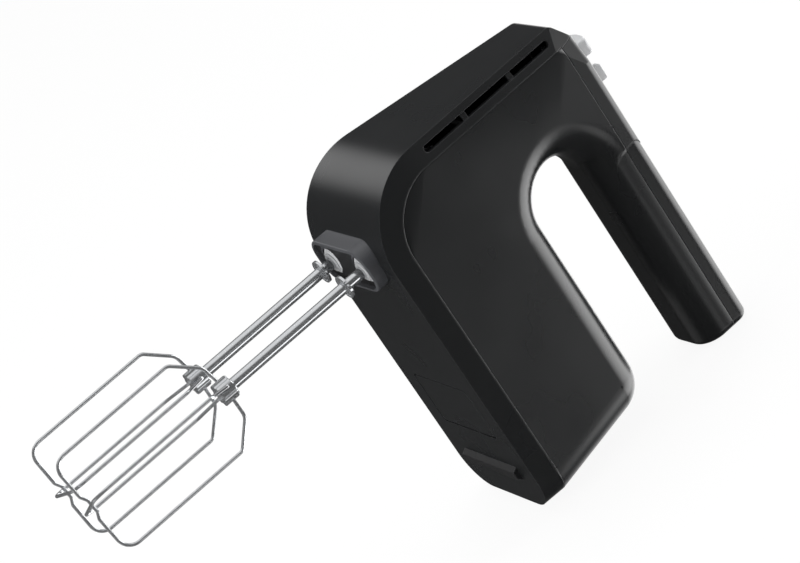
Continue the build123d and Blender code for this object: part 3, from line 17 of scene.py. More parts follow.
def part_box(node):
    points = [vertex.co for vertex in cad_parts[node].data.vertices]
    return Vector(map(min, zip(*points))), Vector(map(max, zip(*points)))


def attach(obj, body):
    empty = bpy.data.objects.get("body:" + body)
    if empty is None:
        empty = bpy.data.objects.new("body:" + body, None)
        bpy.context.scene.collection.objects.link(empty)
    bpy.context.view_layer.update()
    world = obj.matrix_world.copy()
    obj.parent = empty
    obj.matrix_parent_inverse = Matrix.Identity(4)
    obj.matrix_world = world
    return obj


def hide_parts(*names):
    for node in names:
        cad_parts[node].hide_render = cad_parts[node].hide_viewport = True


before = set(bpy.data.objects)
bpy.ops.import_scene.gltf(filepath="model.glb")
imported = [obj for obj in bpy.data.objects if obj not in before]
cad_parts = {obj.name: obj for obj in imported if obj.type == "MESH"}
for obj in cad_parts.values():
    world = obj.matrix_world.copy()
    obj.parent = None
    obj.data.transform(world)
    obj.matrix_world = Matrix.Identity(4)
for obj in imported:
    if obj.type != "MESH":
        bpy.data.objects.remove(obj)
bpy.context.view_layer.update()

log = logging.getLogger("hand_mixer")
MM = 0.001
SAME_PLACE = 0.001 * MM  # corners nearer than this are one corner
SMOOTH_UP_TO = math.radians(35)  # faces that meet at less than this shade as one
SIDE_TILT = 0.3  # a face whose normal rises less than this is a side
TOP_TILT = 0.7  # a face whose normal rises more than this is a top
STRAIGHT = 0.99  # share of an edge's length along an axis from which it runs along it


class Body(Enum):
    """The bodies that carry the new pieces, by their names in the frame."""

    CASING = "body"
    EJECTOR = "ejector"
    LEFT_BEATER = "left_beater"
    RIGHT_BEATER = "right_beater"
    SLIDER = "slider"


def linear(colour: str) -> tuple[float, float, float, float]:
    """Turn an sRGB hex colour into linear RGBA.

    Args:
        colour: Six hex digits, with or without a leading #.

    Returns:
        Red, green, blue and an alpha of 1.
    """
    digits = colour.lstrip("#")
    parts = [int(digits[i : i + 2], 16) / 255 for i in (0, 2, 4)]
    return (*(p / 12.92 if p <= 0.04045 else ((p + 0.055) / 1.055) ** 2.4 for p in parts), 1.0)


def add_node(
    tree: bpy.types.NodeTree,
    kind: str,
    values: dict[Any, Any] | None = None,
    links: dict[Any, bpy.types.NodeSocket] | None = None,
    **settings: Any,
) -> bpy.types.Node:
    """Add one node with its settings, input values and incoming links.

    Args:
        tree: The material's node tree.
        kind: The node's type name without its ShaderNode start.
        values: Input socket name or number to its value.
        links: Input socket name or number to the output that feeds it.
        **settings: Properties of the node itself.

    Returns:
        The new node.
    """
    node = tree.nodes.new(f"ShaderNode{kind}")
    for name, value in settings.items():
        setattr(node, name, value)
    for name, value in (values or {}).items():
        node.inputs[name].default_value = value
    for name, source in (links or {}).items():
        tree.links.new(source, node.inputs[name])
    return node


# ------------------------------------------------------------------ finishes
@dataclass(frozen=True)
class Finish:
    """One finish: what the piece is made of and how its surface was made.

    Args:
        name: The material's name.
        colour: Its colour as sRGB hex.
        second: The colour that it drifts to, as sRGB hex.
        roughness: Mean roughness.
        drift_mm: Size of the patches over which colour and roughness drift.
        grain_mm: Size of the surface's grain.
        grain_depth_mm: Height of the grain.
        spread: How far roughness drifts either way.
    """

    name: str
    colour: str
    second: str
    roughness: float
    drift_mm: float = 30.0
    grain_mm: float = 1.2
    grain_depth_mm: float = 0.02
    spread: float = 0.05

    def surface(self) -> dict[str, Any]:
        """Values that this kind of finish sets on the shader's own sockets."""
        return {}

    def stretch(self) -> tuple[float, float, float]:
        """Scale of the grain along x, y and z."""
        return (1.0, 1.0, 1.0)

    def edge_highlight_colour(self) -> str | None:
        """Colour of a painted highlight along the edges, or None."""
        return None

    def edge_mm(self) -> float:
        """Radius to which the edges are broken, as light sees them."""
        return 0.3

    def material(self) -> bpy.types.Material:
        """Make the node material, once.

        Returns:
            The material of this finish's name.
        """
        made = bpy.data.materials.get(self.name)
        if made:
            return made
        made = bpy.data.materials.new(self.name)
        made.use_nodes = True
        made.diffuse_color = linear(self.colour)
        tree = made.node_tree
        tree.nodes.clear()
        place = add_node(tree, "TexCoord").outputs["Object"]
        turned = add_node(tree, "Mapping", {"Scale": self.stretch()}, {"Vector": place}).outputs[0]
        drift = add_node(
            tree, "TexNoise", {"Scale": 1 / (self.drift_mm * MM), "Detail": 2.0}, {"Vector": place}
        ).outputs["Fac"]
        colour = add_node(
            tree,
            "Mix",
            {6: linear(self.colour), 7: linear(self.second)},
            {0: drift},
            data_type="RGBA",
        ).outputs[2]
        softened = add_node(tree, "Bevel", {"Radius": self.edge_mm() * MM}, samples=4).outputs[0]
        edge_highlight = self.edge_highlight_colour()
        if edge_highlight:
            # painted highlight on the edges: a lighter colour where the broken edge's normal leaves the
            # face's own
            flat = add_node(tree, "NewGeometry").outputs["Normal"]
            along = add_node(tree, "VectorMath", None, {0: softened, 1: flat}, operation="DOT_PRODUCT")
            edge = add_node(
                tree,
                "MapRange",
                {"From Min": 0.98, "From Max": 0.8, "To Min": 0.0, "To Max": 0.7},
                {"Value": along.outputs["Value"]},
            ).outputs[0]
            colour = add_node(
                tree, "Mix", {7: linear(edge_highlight)}, {0: edge, 6: colour}, data_type="RGBA"
            ).outputs[2]
        rough = add_node(
            tree,
            "MapRange",
            {"To Min": self.roughness - self.spread, "To Max": self.roughness + self.spread},
            {"Value": drift},
        ).outputs[0]
        grain = self.grain(tree, turned)
        relief = add_node(
            tree,
            "Bump",
            {"Strength": 1.0, "Distance": self.grain_depth_mm * MM},
            {"Height": grain, "Normal": softened},
        ).outputs[0]
        shader = add_node(
            tree,
            "BsdfPrincipled",
            self.surface(),
            {"Base Color": colour, "Roughness": rough, "Normal": relief},
        ).outputs[0]
        add_node(tree, "OutputMaterial", None, {"Surface": shader})
        return made

    def grain(self, tree: bpy.types.NodeTree, place: bpy.types.NodeSocket) -> bpy.types.NodeSocket:
        """Add the grain's pattern.

        Args:
            tree: The material's node tree.
            place: The coordinates to read.

        Returns:
            The output that gives the grain's height.
        """
        return add_node(
            tree, "TexNoise", {"Scale": 1 / (self.grain_mm * MM), "Detail": 3.0}, {"Vector": place}
        ).outputs["Fac"]


@dataclass(frozen=True)
class MouldedPlastic(Finish):
    """Injection-moulded plastic: the mould's fine spark grain gives a soft, even sheen.

    Args:
        edge_highlight: Colour of the painted highlight along the edges, or None.
        ior: Index of refraction of the resin.
        edge: Radius of the mould's edges in millimetres.
    """

    edge_highlight: str | None = None
    ior: float = 1.5
    edge: float = 0.4

    def surface(self) -> dict[str, Any]:
        """Index of refraction of the resin."""
        return {"IOR": self.ior}

    def edge_highlight_colour(self) -> str | None:
        """Colour of the painted highlight along the edges."""
        return self.edge_highlight

    def edge_mm(self) -> float:
        """Radius of the mould's edges."""
        return self.edge


@dataclass(frozen=True)
class Metal(Finish):
    """Metal: plated, ground, sintered or stamped, told apart by roughness and the grain's run.

    Args:
        run: Scale of the grain along x, y and z, small along its marks.
        haze: Share of the light that a thin pale haze scatters.
    """

    run: tuple[float, float, float] = (1.0, 1.0, 1.0)
    haze: float = 0.0

    def surface(self) -> dict[str, Any]:
        """A metal reflects in its own colour; washing leaves a thin pale haze on plate."""
        return {"Metallic": 1.0 - self.haze}

    def stretch(self) -> tuple[float, float, float]:
        """Grinding and rolling marks are long one way."""
        return self.run


@dataclass(frozen=True)
class FilmOver(MouldedPlastic):
    """Lacquer, solder mask or shrink film: a glossy clear face over a matte colour.

    Args:
        coat: Weight of the clear face.
        coat_roughness: Its roughness.
    """

    coat: float = 0.6
    coat_roughness: float = 0.12

    def surface(self) -> dict[str, Any]:
        """A thin glossy coat."""
        return {**super().surface(), "Coat Weight": self.coat, "Coat Roughness": self.coat_roughness}


class Finishes(Enum):
    """The mixer's finishes."""

    # ABS in a spark-eroded mould: satin black. The real grain is near 0.1 mm; drawn at 0.9 mm to show.
    SHELL = MouldedPlastic(
        "satin_black_abs",
        "#191A1B",
        "#1E1F20",
        roughness=0.28,
        drift_mm=35,
        grain_mm=0.9,
        grain_depth_mm=0.003,
        spread=0.03,
        # painted highlight along the edges
        edge_highlight="#4A4B4E",
        ior=1.5,
        edge=0.4,
    )
    # the shell's black ABS on a finer mould, painted one shade up to dark grey: painted light for the
    # light that its front wall catches
    BEZEL = MouldedPlastic(
        "black_abs_painted_lit_grey",
        "#444548",
        "#4A4B4E",
        roughness=0.38,
        drift_mm=20,
        grain_mm=0.8,
        grain_depth_mm=0.005,
        spread=0.03,
        # painted highlight along the edges
        edge_highlight="#6A6B6E",
        ior=1.5,
        edge=0.4,
    )
    # thermoplastic rubber, moulded matte: dull, with a dusty bloom and a painted pale highlight along
    # its edges
    RUBBER = MouldedPlastic(
        "moulded_black_rubber",
        "#1B1B1C",
        "#262627",
        roughness=0.5,
        drift_mm=12,
        grain_mm=0.7,
        grain_depth_mm=0.02,
        spread=0.06,
        edge_highlight="#6F7072",
        ior=1.52,
        edge=0.8,
    )
    # light grey ABS keys: satin, with a painted paler highlight along their edges
    KEY = MouldedPlastic(
        "satin_light_grey_abs",
        "#C9CACC",
        "#D2D3D4",
        roughness=0.34,
        drift_mm=8,
        grain_mm=0.8,
        grain_depth_mm=0.004,
        spread=0.03,
        edge_highlight="#E4E5E6",
        ior=1.5,
        edge=0.5,
    )
    # moulded acetal: waxy, light grey
    SOCKET = MouldedPlastic(
        "grey_acetal",
        "#BFC0C2",
        "#C8C9CA",
        roughness=0.3,
        drift_mm=8,
        grain_mm=0.8,
        grain_depth_mm=0.004,
        spread=0.03,
        edge_highlight=None,
        ior=1.48,
        edge=0.4,
    )
    # moulded glass-filled nylon: dull, with faint fibre streaks
    GEAR_CASE = MouldedPlastic(
        "glass_filled_nylon",
        "#35373A",
        "#404246",
        roughness=0.55,
        drift_mm=10,
        grain_mm=0.7,
        grain_depth_mm=0.02,
        spread=0.06,
        edge_highlight=None,
        ior=1.53,
        edge=0.3,
    )
    # moulded acetal left in its own colour: waxy white
    GEAR = MouldedPlastic(
        "natural_acetal",
        "#E6E3D8",
        "#EDEAE0",
        roughness=0.32,
        drift_mm=8,
        grain_mm=0.8,
        grain_depth_mm=0.004,
        spread=0.03,
        edge_highlight=None,
        ior=1.48,
        edge=0.2,
    )
    # moulded nylon left in its own colour: milky, softer sheen
    FAN = MouldedPlastic(
        "natural_nylon",
        "#DEDCD2",
        "#E6E4DA",
        roughness=0.4,
        drift_mm=8,
        grain_mm=0.8,
        grain_depth_mm=0.006,
        spread=0.03,
        edge_highlight=None,
        ior=1.53,
        edge=0.2,
    )
    # pressed phenolic: near black, slightly glossy
    CAP = MouldedPlastic(
        "black_phenolic",
        "#1A1A1A",
        "#232322",
        roughness=0.42,
        drift_mm=9,
        grain_mm=0.7,
        grain_depth_mm=0.01,
        spread=0.05,
        edge_highlight=None,
        ior=1.6,
        edge=0.3,
    )
    # sintered ferrite: dark grey and gritty, with dull ground faces
    MAGNET = MouldedPlastic(
        "sintered_ferrite",
        "#2A2A2C",
        "#343437",
        roughness=0.6,
        drift_mm=6,
        grain_mm=0.5,
        grain_depth_mm=0.02,
        spread=0.08,
        edge_highlight=None,
        ior=1.9,
        edge=0.2,
    )
    # pressed carbon: dark, with a faint graphite sheen
    CARBON = MouldedPlastic(
        "pressed_carbon",
        "#1D1D1F",
        "#28282A",
        roughness=0.5,
        drift_mm=3,
        grain_mm=0.4,
        grain_depth_mm=0.02,
        spread=0.08,
        edge_highlight=None,
        ior=1.9,
        edge=0.1,
    )
    # shrink film on the cells: glossy blue, drawn tight
    SLEEVE = FilmOver(
        "blue_shrink_film",
        "#1F5C9E",
        "#24659F",
        roughness=0.3,
        drift_mm=20,
        grain_mm=2.5,
        grain_depth_mm=0.02,
        spread=0.05,
        edge_highlight=None,
        ior=1.5,
        edge=0.3,
    )
    # solder mask on glass-fibre board: glossy green over a fine weave
    BOARD = FilmOver(
        "green_solder_mask",
        "#0F4A2A",
        "#145431",
        roughness=0.35,
        drift_mm=6,
        grain_mm=1.0,
        grain_depth_mm=0.01,
        spread=0.05,
        edge_highlight=None,
        ior=1.5,
        edge=0.1,
    )
    # bright chrome plate over nickel: mirror-like, with a faint haze from washing
    CHROME = Metal(
        "bright_chrome_plate",
        "#E4E6E8",
        "#DCDEE1",
        roughness=0.12,
        drift_mm=12,
        grain_mm=1.5,
        grain_depth_mm=0.002,
        spread=0.03,
        haze=0.14,
    )
    # chrome plate on a zinc casting: the same, with the casting's slight waviness
    CAST_CHROME = Metal(
        "chromed_zinc_casting",
        "#DCDEE0",
        "#D2D4D7",
        roughness=0.18,
        drift_mm=6,
        grain_mm=1.2,
        grain_depth_mm=0.012,
        spread=0.04,
        haze=0.14,
    )
    # ground steel: fine rings round the shaft
    GROUND = Metal(
        "ground_steel",
        "#B9BBBD",
        "#AFB1B4",
        roughness=0.22,
        drift_mm=6,
        grain_mm=0.8,
        grain_depth_mm=0.004,
        spread=0.04,
        run=(0.1, 0.1, 1.0),
    )
    # passivated zinc plate: dull, faintly mottled
    ZINC = Metal(
        "passivated_zinc_plate",
        "#A9ABAE",
        "#B6B8BA",
        roughness=0.34,
        drift_mm=5,
        grain_mm=1.0,
        grain_depth_mm=0.006,
        spread=0.06,
    )
    # sintered bronze: porous and oily, so dull
    BRONZE = Metal(
        "sintered_bronze",
        "#A7824F",
        "#95713F",
        roughness=0.45,
        drift_mm=4,
        grain_mm=0.5,
        grain_depth_mm=0.02,
        spread=0.06,
    )
    # enamelled copper: orange-brown, with the turns' fine lines
    COPPER = Metal(
        "enamelled_copper",
        "#B3622F",
        "#A3541F",
        roughness=0.24,
        drift_mm=4,
        grain_mm=0.6,
        grain_depth_mm=0.01,
        spread=0.05,
        run=(1.0, 1.0, 0.1),
    )
    # stacked core steel: thin dark lines across the stack
    LAMINATION = Metal(
        "laminated_core_steel",
        "#6E7175",
        "#5D6064",
        roughness=0.42,
        drift_mm=4,
        grain_mm=0.5,
        grain_depth_mm=0.03,
        spread=0.06,
        run=(0.05, 0.05, 1.0),
    )
    # rolled nickel strip: warm grey, with rolling marks
    NICKEL = Metal(
        "nickel_strip",
        "#BDB8AC",
        "#B1ACA0",
        roughness=0.3,
        drift_mm=6,
        grain_mm=0.8,
        grain_depth_mm=0.004,
        spread=0.05,
        run=(1.0, 0.1, 1.0),
    )


NODE_FINISHES: dict[Finishes, tuple[str, ...]] = {
    Finishes.SHELL: ("front_shell", "handle_cover", "underside_hatch"),
    Finishes.BEZEL: ("nose_bezel",),
    Finishes.RUBBER: ("foot_bar", "heel_foot"),
    Finishes.SOCKET: ("left_spindle", "right_spindle"),
    Finishes.GEAR_CASE: ("gearbox_frame", "gearbox_cover", "ejector_plate"),
    Finishes.GEAR: ("left_worm_wheel", "right_worm_wheel"),
    Finishes.BRONZE: ("spindle_bushes", "motor_bearings"),
    Finishes.GROUND: (
        "motor_shaft",
        "eject_rod",
        "left_ejector_pin",
        "right_ejector_pin",
        "eject_spring",
    ),
    Finishes.ZINC: ("motor_can", "housing_screws", "gearbox_screws", "cover_screw"),
    Finishes.CAP: ("motor_end_cap", "battery_holder", "charge_socket", "speed_switch"),
    Finishes.MAGNET: ("motor_magnets",),
    Finishes.LAMINATION: ("armature_core",),
    Finishes.COPPER: ("windings", "commutator"),
    Finishes.CARBON: ("brushes",),
    Finishes.FAN: ("cooling_fan",),
    Finishes.SLEEVE: ("battery_cells",),
    Finishes.NICKEL: ("cell_links",),
    Finishes.BOARD: ("charge_board", "control_board"),
    Finishes.CHROME: tuple(
        f"{side}_{part}"
        for side in ("left", "right")
        for part in ("beater_shaft", "beater_collar", "loop_a", "loop_b")
    ),
    Finishes.CAST_CHROME: ("left_beater_hub", "right_beater_hub"),
}


def dress(piece: bpy.types.Object, finish: Finishes) -> None:
    """Give every material slot of a piece the same finish.

    Args:
        piece: The object to dress.
        finish: The finish that it gets.
    """
    made = finish.value.material()
    if not piece.data.materials:
        piece.data.materials.append(made)
    for index in range(len(piece.data.materials)):
        piece.data.materials[index] = made


# ------------------------------------------------------------------ sub-assemblies
def box_mm(node: str) -> tuple[tuple[float, ...], tuple[float, ...]]:
    """Give a CAD node's lowest and highest corners in millimetres."""
    low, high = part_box(node)
    return tuple(v / MM for v in low), tuple(v / MM for v in high)


def turned(
    profile: list[tuple[float, float]], x: float, z: float, steps: int = 56
) -> bmesh.types.BMesh:
    """Turn a closed profile round an upright line, as a lathe would.

    Args:
        profile: Radius and height of each corner in turn, in millimetres.
        x: Place of the line along X, in millimetres.
        z: Place of the line along Z, in millimetres.
        steps: Number of faces round the line.

    Returns:
        The closed shape, its faces outward.
    """
    shape = bmesh.new()
    corners = [shape.verts.new(((x + r) * MM, y * MM, z * MM)) for r, y in profile]
    rim = [shape.edges.new((a, b)) for a, b in zip(corners, corners[1:] + corners[:1])]
    bmesh.ops.spin(
        shape,
        geom=corners + rim,
        cent=(x * MM, 0.0, z * MM),
        axis=(0.0, 1.0, 0.0),
        angle=2 * math.pi,
        steps=steps,
        use_merge=True,
    )
    bmesh.ops.remove_doubles(shape, verts=shape.verts, dist=SAME_PLACE)
    bmesh.ops.recalc_face_normals(shape, faces=shape.faces)
    return shape


def block(low: tuple[float, float, float], high: tuple[float, float, float]) -> bmesh.types.BMesh:
    """Start a shape from a block between two corners.

    Args:
        low: Lowest corner in millimetres.
        high: Highest corner in millimetres.

    Returns:
        The block.
    """
    shape = bmesh.new()
    bmesh.ops.create_cube(shape, size=1.0)
    span = [(b - a) * MM for a, b in zip(low, high)]
    middle = [(a + b) / 2 * MM for a, b in zip(low, high)]
    bmesh.ops.scale(shape, vec=span, verts=shape.verts)
    bmesh.ops.translate(shape, vec=middle, verts=shape.verts)
    return shape


def round_off(
    shape: bmesh.types.BMesh, edges: list[bmesh.types.BMEdge], radius: float, steps: int
) -> None:
    """Round some edges of a shape.

    Args:
        shape: The shape to change.
        edges: Its edges to round.
        radius: The rounding in millimetres.
        steps: Number of faces across each rounding.
    """
    bmesh.ops.bevel(
        shape,
        geom=edges,
        offset=radius * MM,
        offset_type="OFFSET",
        affect="EDGES",
        segments=steps,
        profile=0.5,
        material=-1,
        clamp_overlap=True,
    )


def join(shape: bmesh.types.BMesh, other: bmesh.types.BMesh) -> None:
    """Add another shape's faces to a shape, and free the other.

    Args:
        shape: The shape that grows.
        other: The shape that is added.
    """
    spare = bpy.data.meshes.new("spare")
    other.to_mesh(spare)
    other.free()
    shape.from_mesh(spare)
    bpy.data.meshes.remove(spare)


def keep(
    shape: bmesh.types.BMesh,
    name: str,
    body: Body,
    finish: Finishes,
    replaced: str = "",
) -> bpy.types.Object:
    """Make a finished piece of a shape: place, dress and attach it.

    Args:
        shape: The finished shape, freed here.
        name: The piece's name.
        body: The body that carries it.
        finish: Its finish.
        replaced: The CAD node that it stands for, if any.

    Returns:
        The new object.
    """
    mesh = bpy.data.meshes.new(name)
    shape.to_mesh(mesh)
    shape.free()
    mesh.polygons.foreach_set("use_smooth", [True] * len(mesh.polygons))
    mesh.set_sharp_from_angle(angle=SMOOTH_UP_TO)
    piece = bpy.data.objects.new(name, mesh)
    bpy.context.scene.collection.objects.link(piece)
    dress(piece, finish)
    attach(piece, body.value)
    if replaced:
        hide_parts(replaced)
    log.info("%s, %d faces", name, len(mesh.polygons))
    return piece


def along(shape: bmesh.types.BMesh, axis: int, above: float) -> list[bmesh.types.BMEdge]:
    """Pick the edges that run along one axis and lie wholly above a height.

    Args:
        shape: The shape to look at.
        axis: 0, 1 or 2 for x, y or z.
        above: Lowest y of the edges, in millimetres.

    Returns:
        The edges.
    """
    picked = []
    for edge in shape.edges:
        run = edge.verts[1].co - edge.verts[0].co
        if abs(run[axis]) > STRAIGHT * run.length and min(v.co.y for v in edge.verts) > above * MM:
            picked.append(edge)
    return picked


@dataclass
class Housing:
    """The main housing, its rounded edges by the finger gap made flush, in millimetres.

    Args:
        edge_radius: Radius of the rounded edges.
        centre_x: Place of their centre lines along X, either side.
        centre_y: Height of their centre lines.
        rear_z: Rear of the stretch where screw posts reach the edges.
        front_z: Front of that stretch.
        under: How far under the rounded face a post's end is put.
        proud: How far a corner may stand off that face before it is moved.
    """

    edge_radius: float = 18.0
    centre_x: float = 17.2
    centre_y: float = 50.0
    rear_z: float = 1.0
    front_z: float = 118.0
    under: float = 0.05
    proud: float = 0.1

    def build(self) -> None:
        """Copy the housing, merge it and bring the ends of its screw posts under the rounded edges."""
        shape = bmesh.new()
        shape.from_mesh(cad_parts["main_housing"].data)
        bmesh.ops.remove_doubles(shape, verts=shape.verts, dist=SAME_PLACE)
        for vert in shape.verts:
            if self.rear_z * MM < vert.co.z < self.front_z * MM:
                self.bring_in(vert)
        piece = keep(
            shape, "housing_moulding", Body.CASING, Finishes.SHELL, "main_housing"
        )
        weighted = piece.modifiers.new("face_normals", "WEIGHTED_NORMAL")
        weighted.mode = "FACE_AREA"
        weighted.weight = 100
        weighted.keep_sharp = True

    def bring_in(self, vert: bmesh.types.BMVert) -> None:
        """Move a corner that stands proud of the rounded edge to just under it.

        Args:
            vert: A corner of the housing's mesh.
        """
        across = abs(vert.co.x) / MM - self.centre_x
        up = vert.co.y / MM - self.centre_y
        reach = math.hypot(across, up)
        if across > 0 and 0 < up < self.edge_radius + self.proud < reach:
            scale = (self.edge_radius - self.under) / reach
            side = math.copysign(1.0, vert.co.x)
            vert.co.x = side * (self.centre_x + across * scale) * MM
            vert.co.y = (self.centre_y + up * scale) * MM


@dataclass
class Keys:
    """The eject key and the speed key on the handle's top, in millimetres.

    Args:
        cover_y: Height of the handle cover's top.
        corner: Rounding of the eject key's upright edges.
        crown: Rounding of the edges of its top.
        arch_drop: How much lower its top is at its ends than in its middle.
        arch_cuts: Number of cuts across its top, so that it can arch.
        eject_half_width: Half width of the eject key.
        eject_rear_z: Rear of the eject key.
        eject_front_z: Front of the eject key.
        flange: Thickness of the flange that keeps it in.
        flange_corner: Rounding of that flange.
        overlap: How far the key reaches into its flange.
        speed_half_width: Half width of the speed key.
        speed_corner: Rounding of its upright edges.
        speed_crown: Rounding of the edges of its top.
        speed_foot: Depth of its foot under the cover's top.
        plate_depths: Depths of the top and bottom of the plate that keeps it in.
        plate_corner: Rounding of that plate.
        stem_half_width: Half width of the stem that goes down to the switch.
        stem_rear_z: Rear of the stem.
        stem_front_z: Front of the stem.
        stem_depth: Depth of the stem's top.
        stem_corner: Rounding of the stem's upright edges.
    """

    cover_y: float = 140.5
    corner: float = 1.6
    crown: float = 1.4
    arch_drop: float = 2.3
    arch_cuts: int = 11
    eject_half_width: float = 9.5
    eject_rear_z: float = 165.4
    eject_front_z: float = 174.6
    flange: float = 2.5
    flange_corner: float = 0.3
    overlap: float = 0.2
    speed_half_width: float = 2.75
    speed_corner: float = 0.9
    speed_crown: float = 1.12
    speed_foot: float = 2.4
    plate_depths: tuple[float, float] = (2.8, 4.2)
    plate_corner: float = 0.2
    stem_half_width: float = 1.4
    stem_rear_z: float = 148.7
    stem_front_z: float = 153.5
    stem_depth: float = 2.0
    stem_corner: float = 0.3

    def build(self) -> None:
        """Make both keys."""
        self.eject_key()
        self.speed_key()

    def eject_key(self) -> None:
        """Make the wide eject key with its arched top and the flange under the cover."""
        low, high = box_mm("eject_button")
        key = block(
            (-self.eject_half_width, low[1] + self.flange - self.overlap, self.eject_rear_z),
            (self.eject_half_width, high[1], self.eject_front_z),
        )
        round_off(key, along(key, 1, 0.0), self.corner, 4)
        bmesh.ops.subdivide_edges(
            key, edges=along(key, 0, 0.0), cuts=self.arch_cuts, use_grid_fill=True
        )
        self.arch(key, high[1])
        self.round_top(key, self.crown)
        skirt = block(low, (high[0], low[1] + self.flange, high[2]))
        round_off(skirt, list(skirt.edges), self.flange_corner, 2)
        join(key, skirt)
        keep(key, "eject_key_moulding", Body.EJECTOR, Finishes.KEY, "eject_button")

    def speed_key(self) -> None:
        """Make the narrow speed key with its keeper plate and its stem."""
        low, high = box_mm("speed_slider")
        key = block(
            (-self.speed_half_width, self.cover_y - self.speed_foot, low[2]),
            (self.speed_half_width, high[1], high[2]),
        )
        round_off(key, along(key, 1, 0.0), self.speed_corner, 3)
        self.round_top(key, self.speed_crown)
        top, bottom = (self.cover_y - depth for depth in self.plate_depths)
        plate = block((low[0], bottom, low[2]), (high[0], top, high[2]))
        round_off(plate, list(plate.edges), self.plate_corner, 2)
        join(key, plate)
        stem = block(
            (-self.stem_half_width, low[1], self.stem_rear_z),
            (self.stem_half_width, self.cover_y - self.stem_depth, self.stem_front_z),
        )
        round_off(stem, along(stem, 1, 0.0), self.stem_corner, 2)
        join(key, stem)
        keep(key, "speed_key_moulding", Body.SLIDER, Finishes.KEY, "speed_slider")

    def arch(self, key: bmesh.types.BMesh, top_y: float) -> None:
        """Arch the eject key's top from side to side.

        Args:
            key: The key's shape.
            top_y: Height of its middle in millimetres.
        """
        for vert in key.verts:
            if vert.co.y > top_y * MM - SAME_PLACE:
                vert.co.y -= self.arch_drop * MM * (vert.co.x / (self.eject_half_width * MM)) ** 2

    def round_top(self, key: bmesh.types.BMesh, radius: float) -> None:
        """Round the edge between a key's top and its sides.

        Args:
            key: The key's shape.
            radius: The rounding in millimetres.
        """
        key.normal_update()
        rim = []
        for edge in key.edges:
            tilts = sorted(face.normal.y for face in edge.link_faces)
            if len(tilts) == 2 and tilts[0] < SIDE_TILT and tilts[1] > TOP_TILT:
                rim.append(edge)
        round_off(key, rim, radius, 5)


@dataclass
class BeaterMouths:
    """What closes the mouths of the beater sockets, in millimetres.

    Args:
        spacing: Distance between the shafts.
        shaft_z: Their place along Z.
        mouth_y: Height of the sockets' mouths.
        shaft_radius: Radius of a beater's shaft.
        disc_radius: Radius of the drip disc on each beater.
        disc_depth: Thickness of the drip disc.
        disc_chamfer: Chamfer of its outer face.
        disc_gap: Gap between the disc and the socket's mouth.
        floor_y: Height of the bezel's recessed floor.
        seal_half_width: Half width of the seal on that floor.
        seal_half_length: Its half length along Z.
        seal_middle_z: Its middle along Z.
        seal_corner: Rounding of its corners.
        seal_depth: Its thickness.
        seal_hole: Radius of its holes round the sockets.
        seal_sunk: How far it is set into the floor, so that it lies on it without a gap.
    """

    spacing: float = 34.0
    shaft_z: float = 160.5
    mouth_y: float = -20.0
    shaft_radius: float = 3.02
    disc_radius: float = 5.4
    disc_depth: float = 0.9
    disc_chamfer: float = 0.3
    disc_gap: float = 0.05
    floor_y: float = -19.5
    seal_half_width: float = 27.6
    seal_half_length: float = 11.2
    seal_middle_z: float = 161.6
    seal_corner: float = 9.6
    seal_depth: float = 0.35
    seal_hole: float = 8.05
    seal_sunk: float = 0.02

    def build(self) -> None:
        """Make the two drip discs and the seal."""
        near = self.mouth_y - self.disc_gap
        far = near - self.disc_depth
        chamfer = self.disc_chamfer
        profile = [
            (self.shaft_radius, near),
            (self.disc_radius, near),
            (self.disc_radius, far + chamfer),
            (self.disc_radius - chamfer, far),
            (self.shaft_radius + chamfer, far),
            (self.shaft_radius, far + chamfer),
        ]
        for name, body, side in (
            ("left_drip_disc", Body.LEFT_BEATER, 1),
            ("right_drip_disc", Body.RIGHT_BEATER, -1),
        ):
            disc = turned(profile, side * self.spacing / 2, self.shaft_z)
            keep(disc, name, body, Finishes.SOCKET)
        self.lay_seal()

    def lay_seal(self) -> None:
        """Make the thin seal that lies on the bezel's recessed floor."""
        seal = bmesh.new()
        bmesh.ops.create_grid(seal, x_segments=1, y_segments=1, size=1.0)
        bmesh.ops.scale(
            seal, vec=(self.seal_half_width * MM, self.seal_half_length * MM, 1.0), verts=seal.verts
        )
        bmesh.ops.bevel(
            seal,
            geom=list(seal.verts),
            offset=self.seal_corner * MM,
            offset_type="OFFSET",
            affect="VERTICES",
            segments=8,
            profile=0.5,
            material=-1,
        )
        bmesh.ops.delete(seal, geom=list(seal.faces), context="FACES_ONLY")
        for side in (1, -1):
            place = Matrix.Translation(
                (side * self.spacing / 2 * MM, (self.seal_middle_z - self.shaft_z) * MM, 0.0)
            )
            bmesh.ops.create_circle(seal, segments=48, radius=self.seal_hole * MM, matrix=place)
        bmesh.ops.triangle_fill(seal, use_beauty=True, edges=list(seal.edges))
        grown = bmesh.ops.extrude_face_region(seal, geom=list(seal.faces))["geom"]
        lifted = [v for v in grown if isinstance(v, bmesh.types.BMVert)]
        bmesh.ops.translate(seal, vec=(0.0, 0.0, self.seal_depth * MM), verts=lifted)
        bmesh.ops.rotate(
            seal, cent=(0.0, 0.0, 0.0), matrix=Matrix.Rotation(math.pi / 2, 3, "X"), verts=seal.verts
        )
        bmesh.ops.translate(
            seal,
            vec=(0.0, (self.floor_y + self.seal_sunk) * MM, self.seal_middle_z * MM),
            verts=seal.verts,
        )
        bmesh.ops.recalc_face_normals(seal, faces=seal.faces)
        keep(seal, "bezel_seal", Body.CASING, Finishes.RUBBER)


# ------------------------------------------------------------------ studio
@dataclass(frozen=True)
class Panel:
    """A soft lit panel, far off, that only gloss and metal pick up.

    Args:
        toward: Direction of its middle.
        edge: Cosine of the angle at which it has faded out.
        full: Cosine of the angle within which it is at full strength.
        strength: Its brightness, where 1 is white.
    """

    toward: tuple[float, float, float]
    edge: float
    full: float
    strength: float


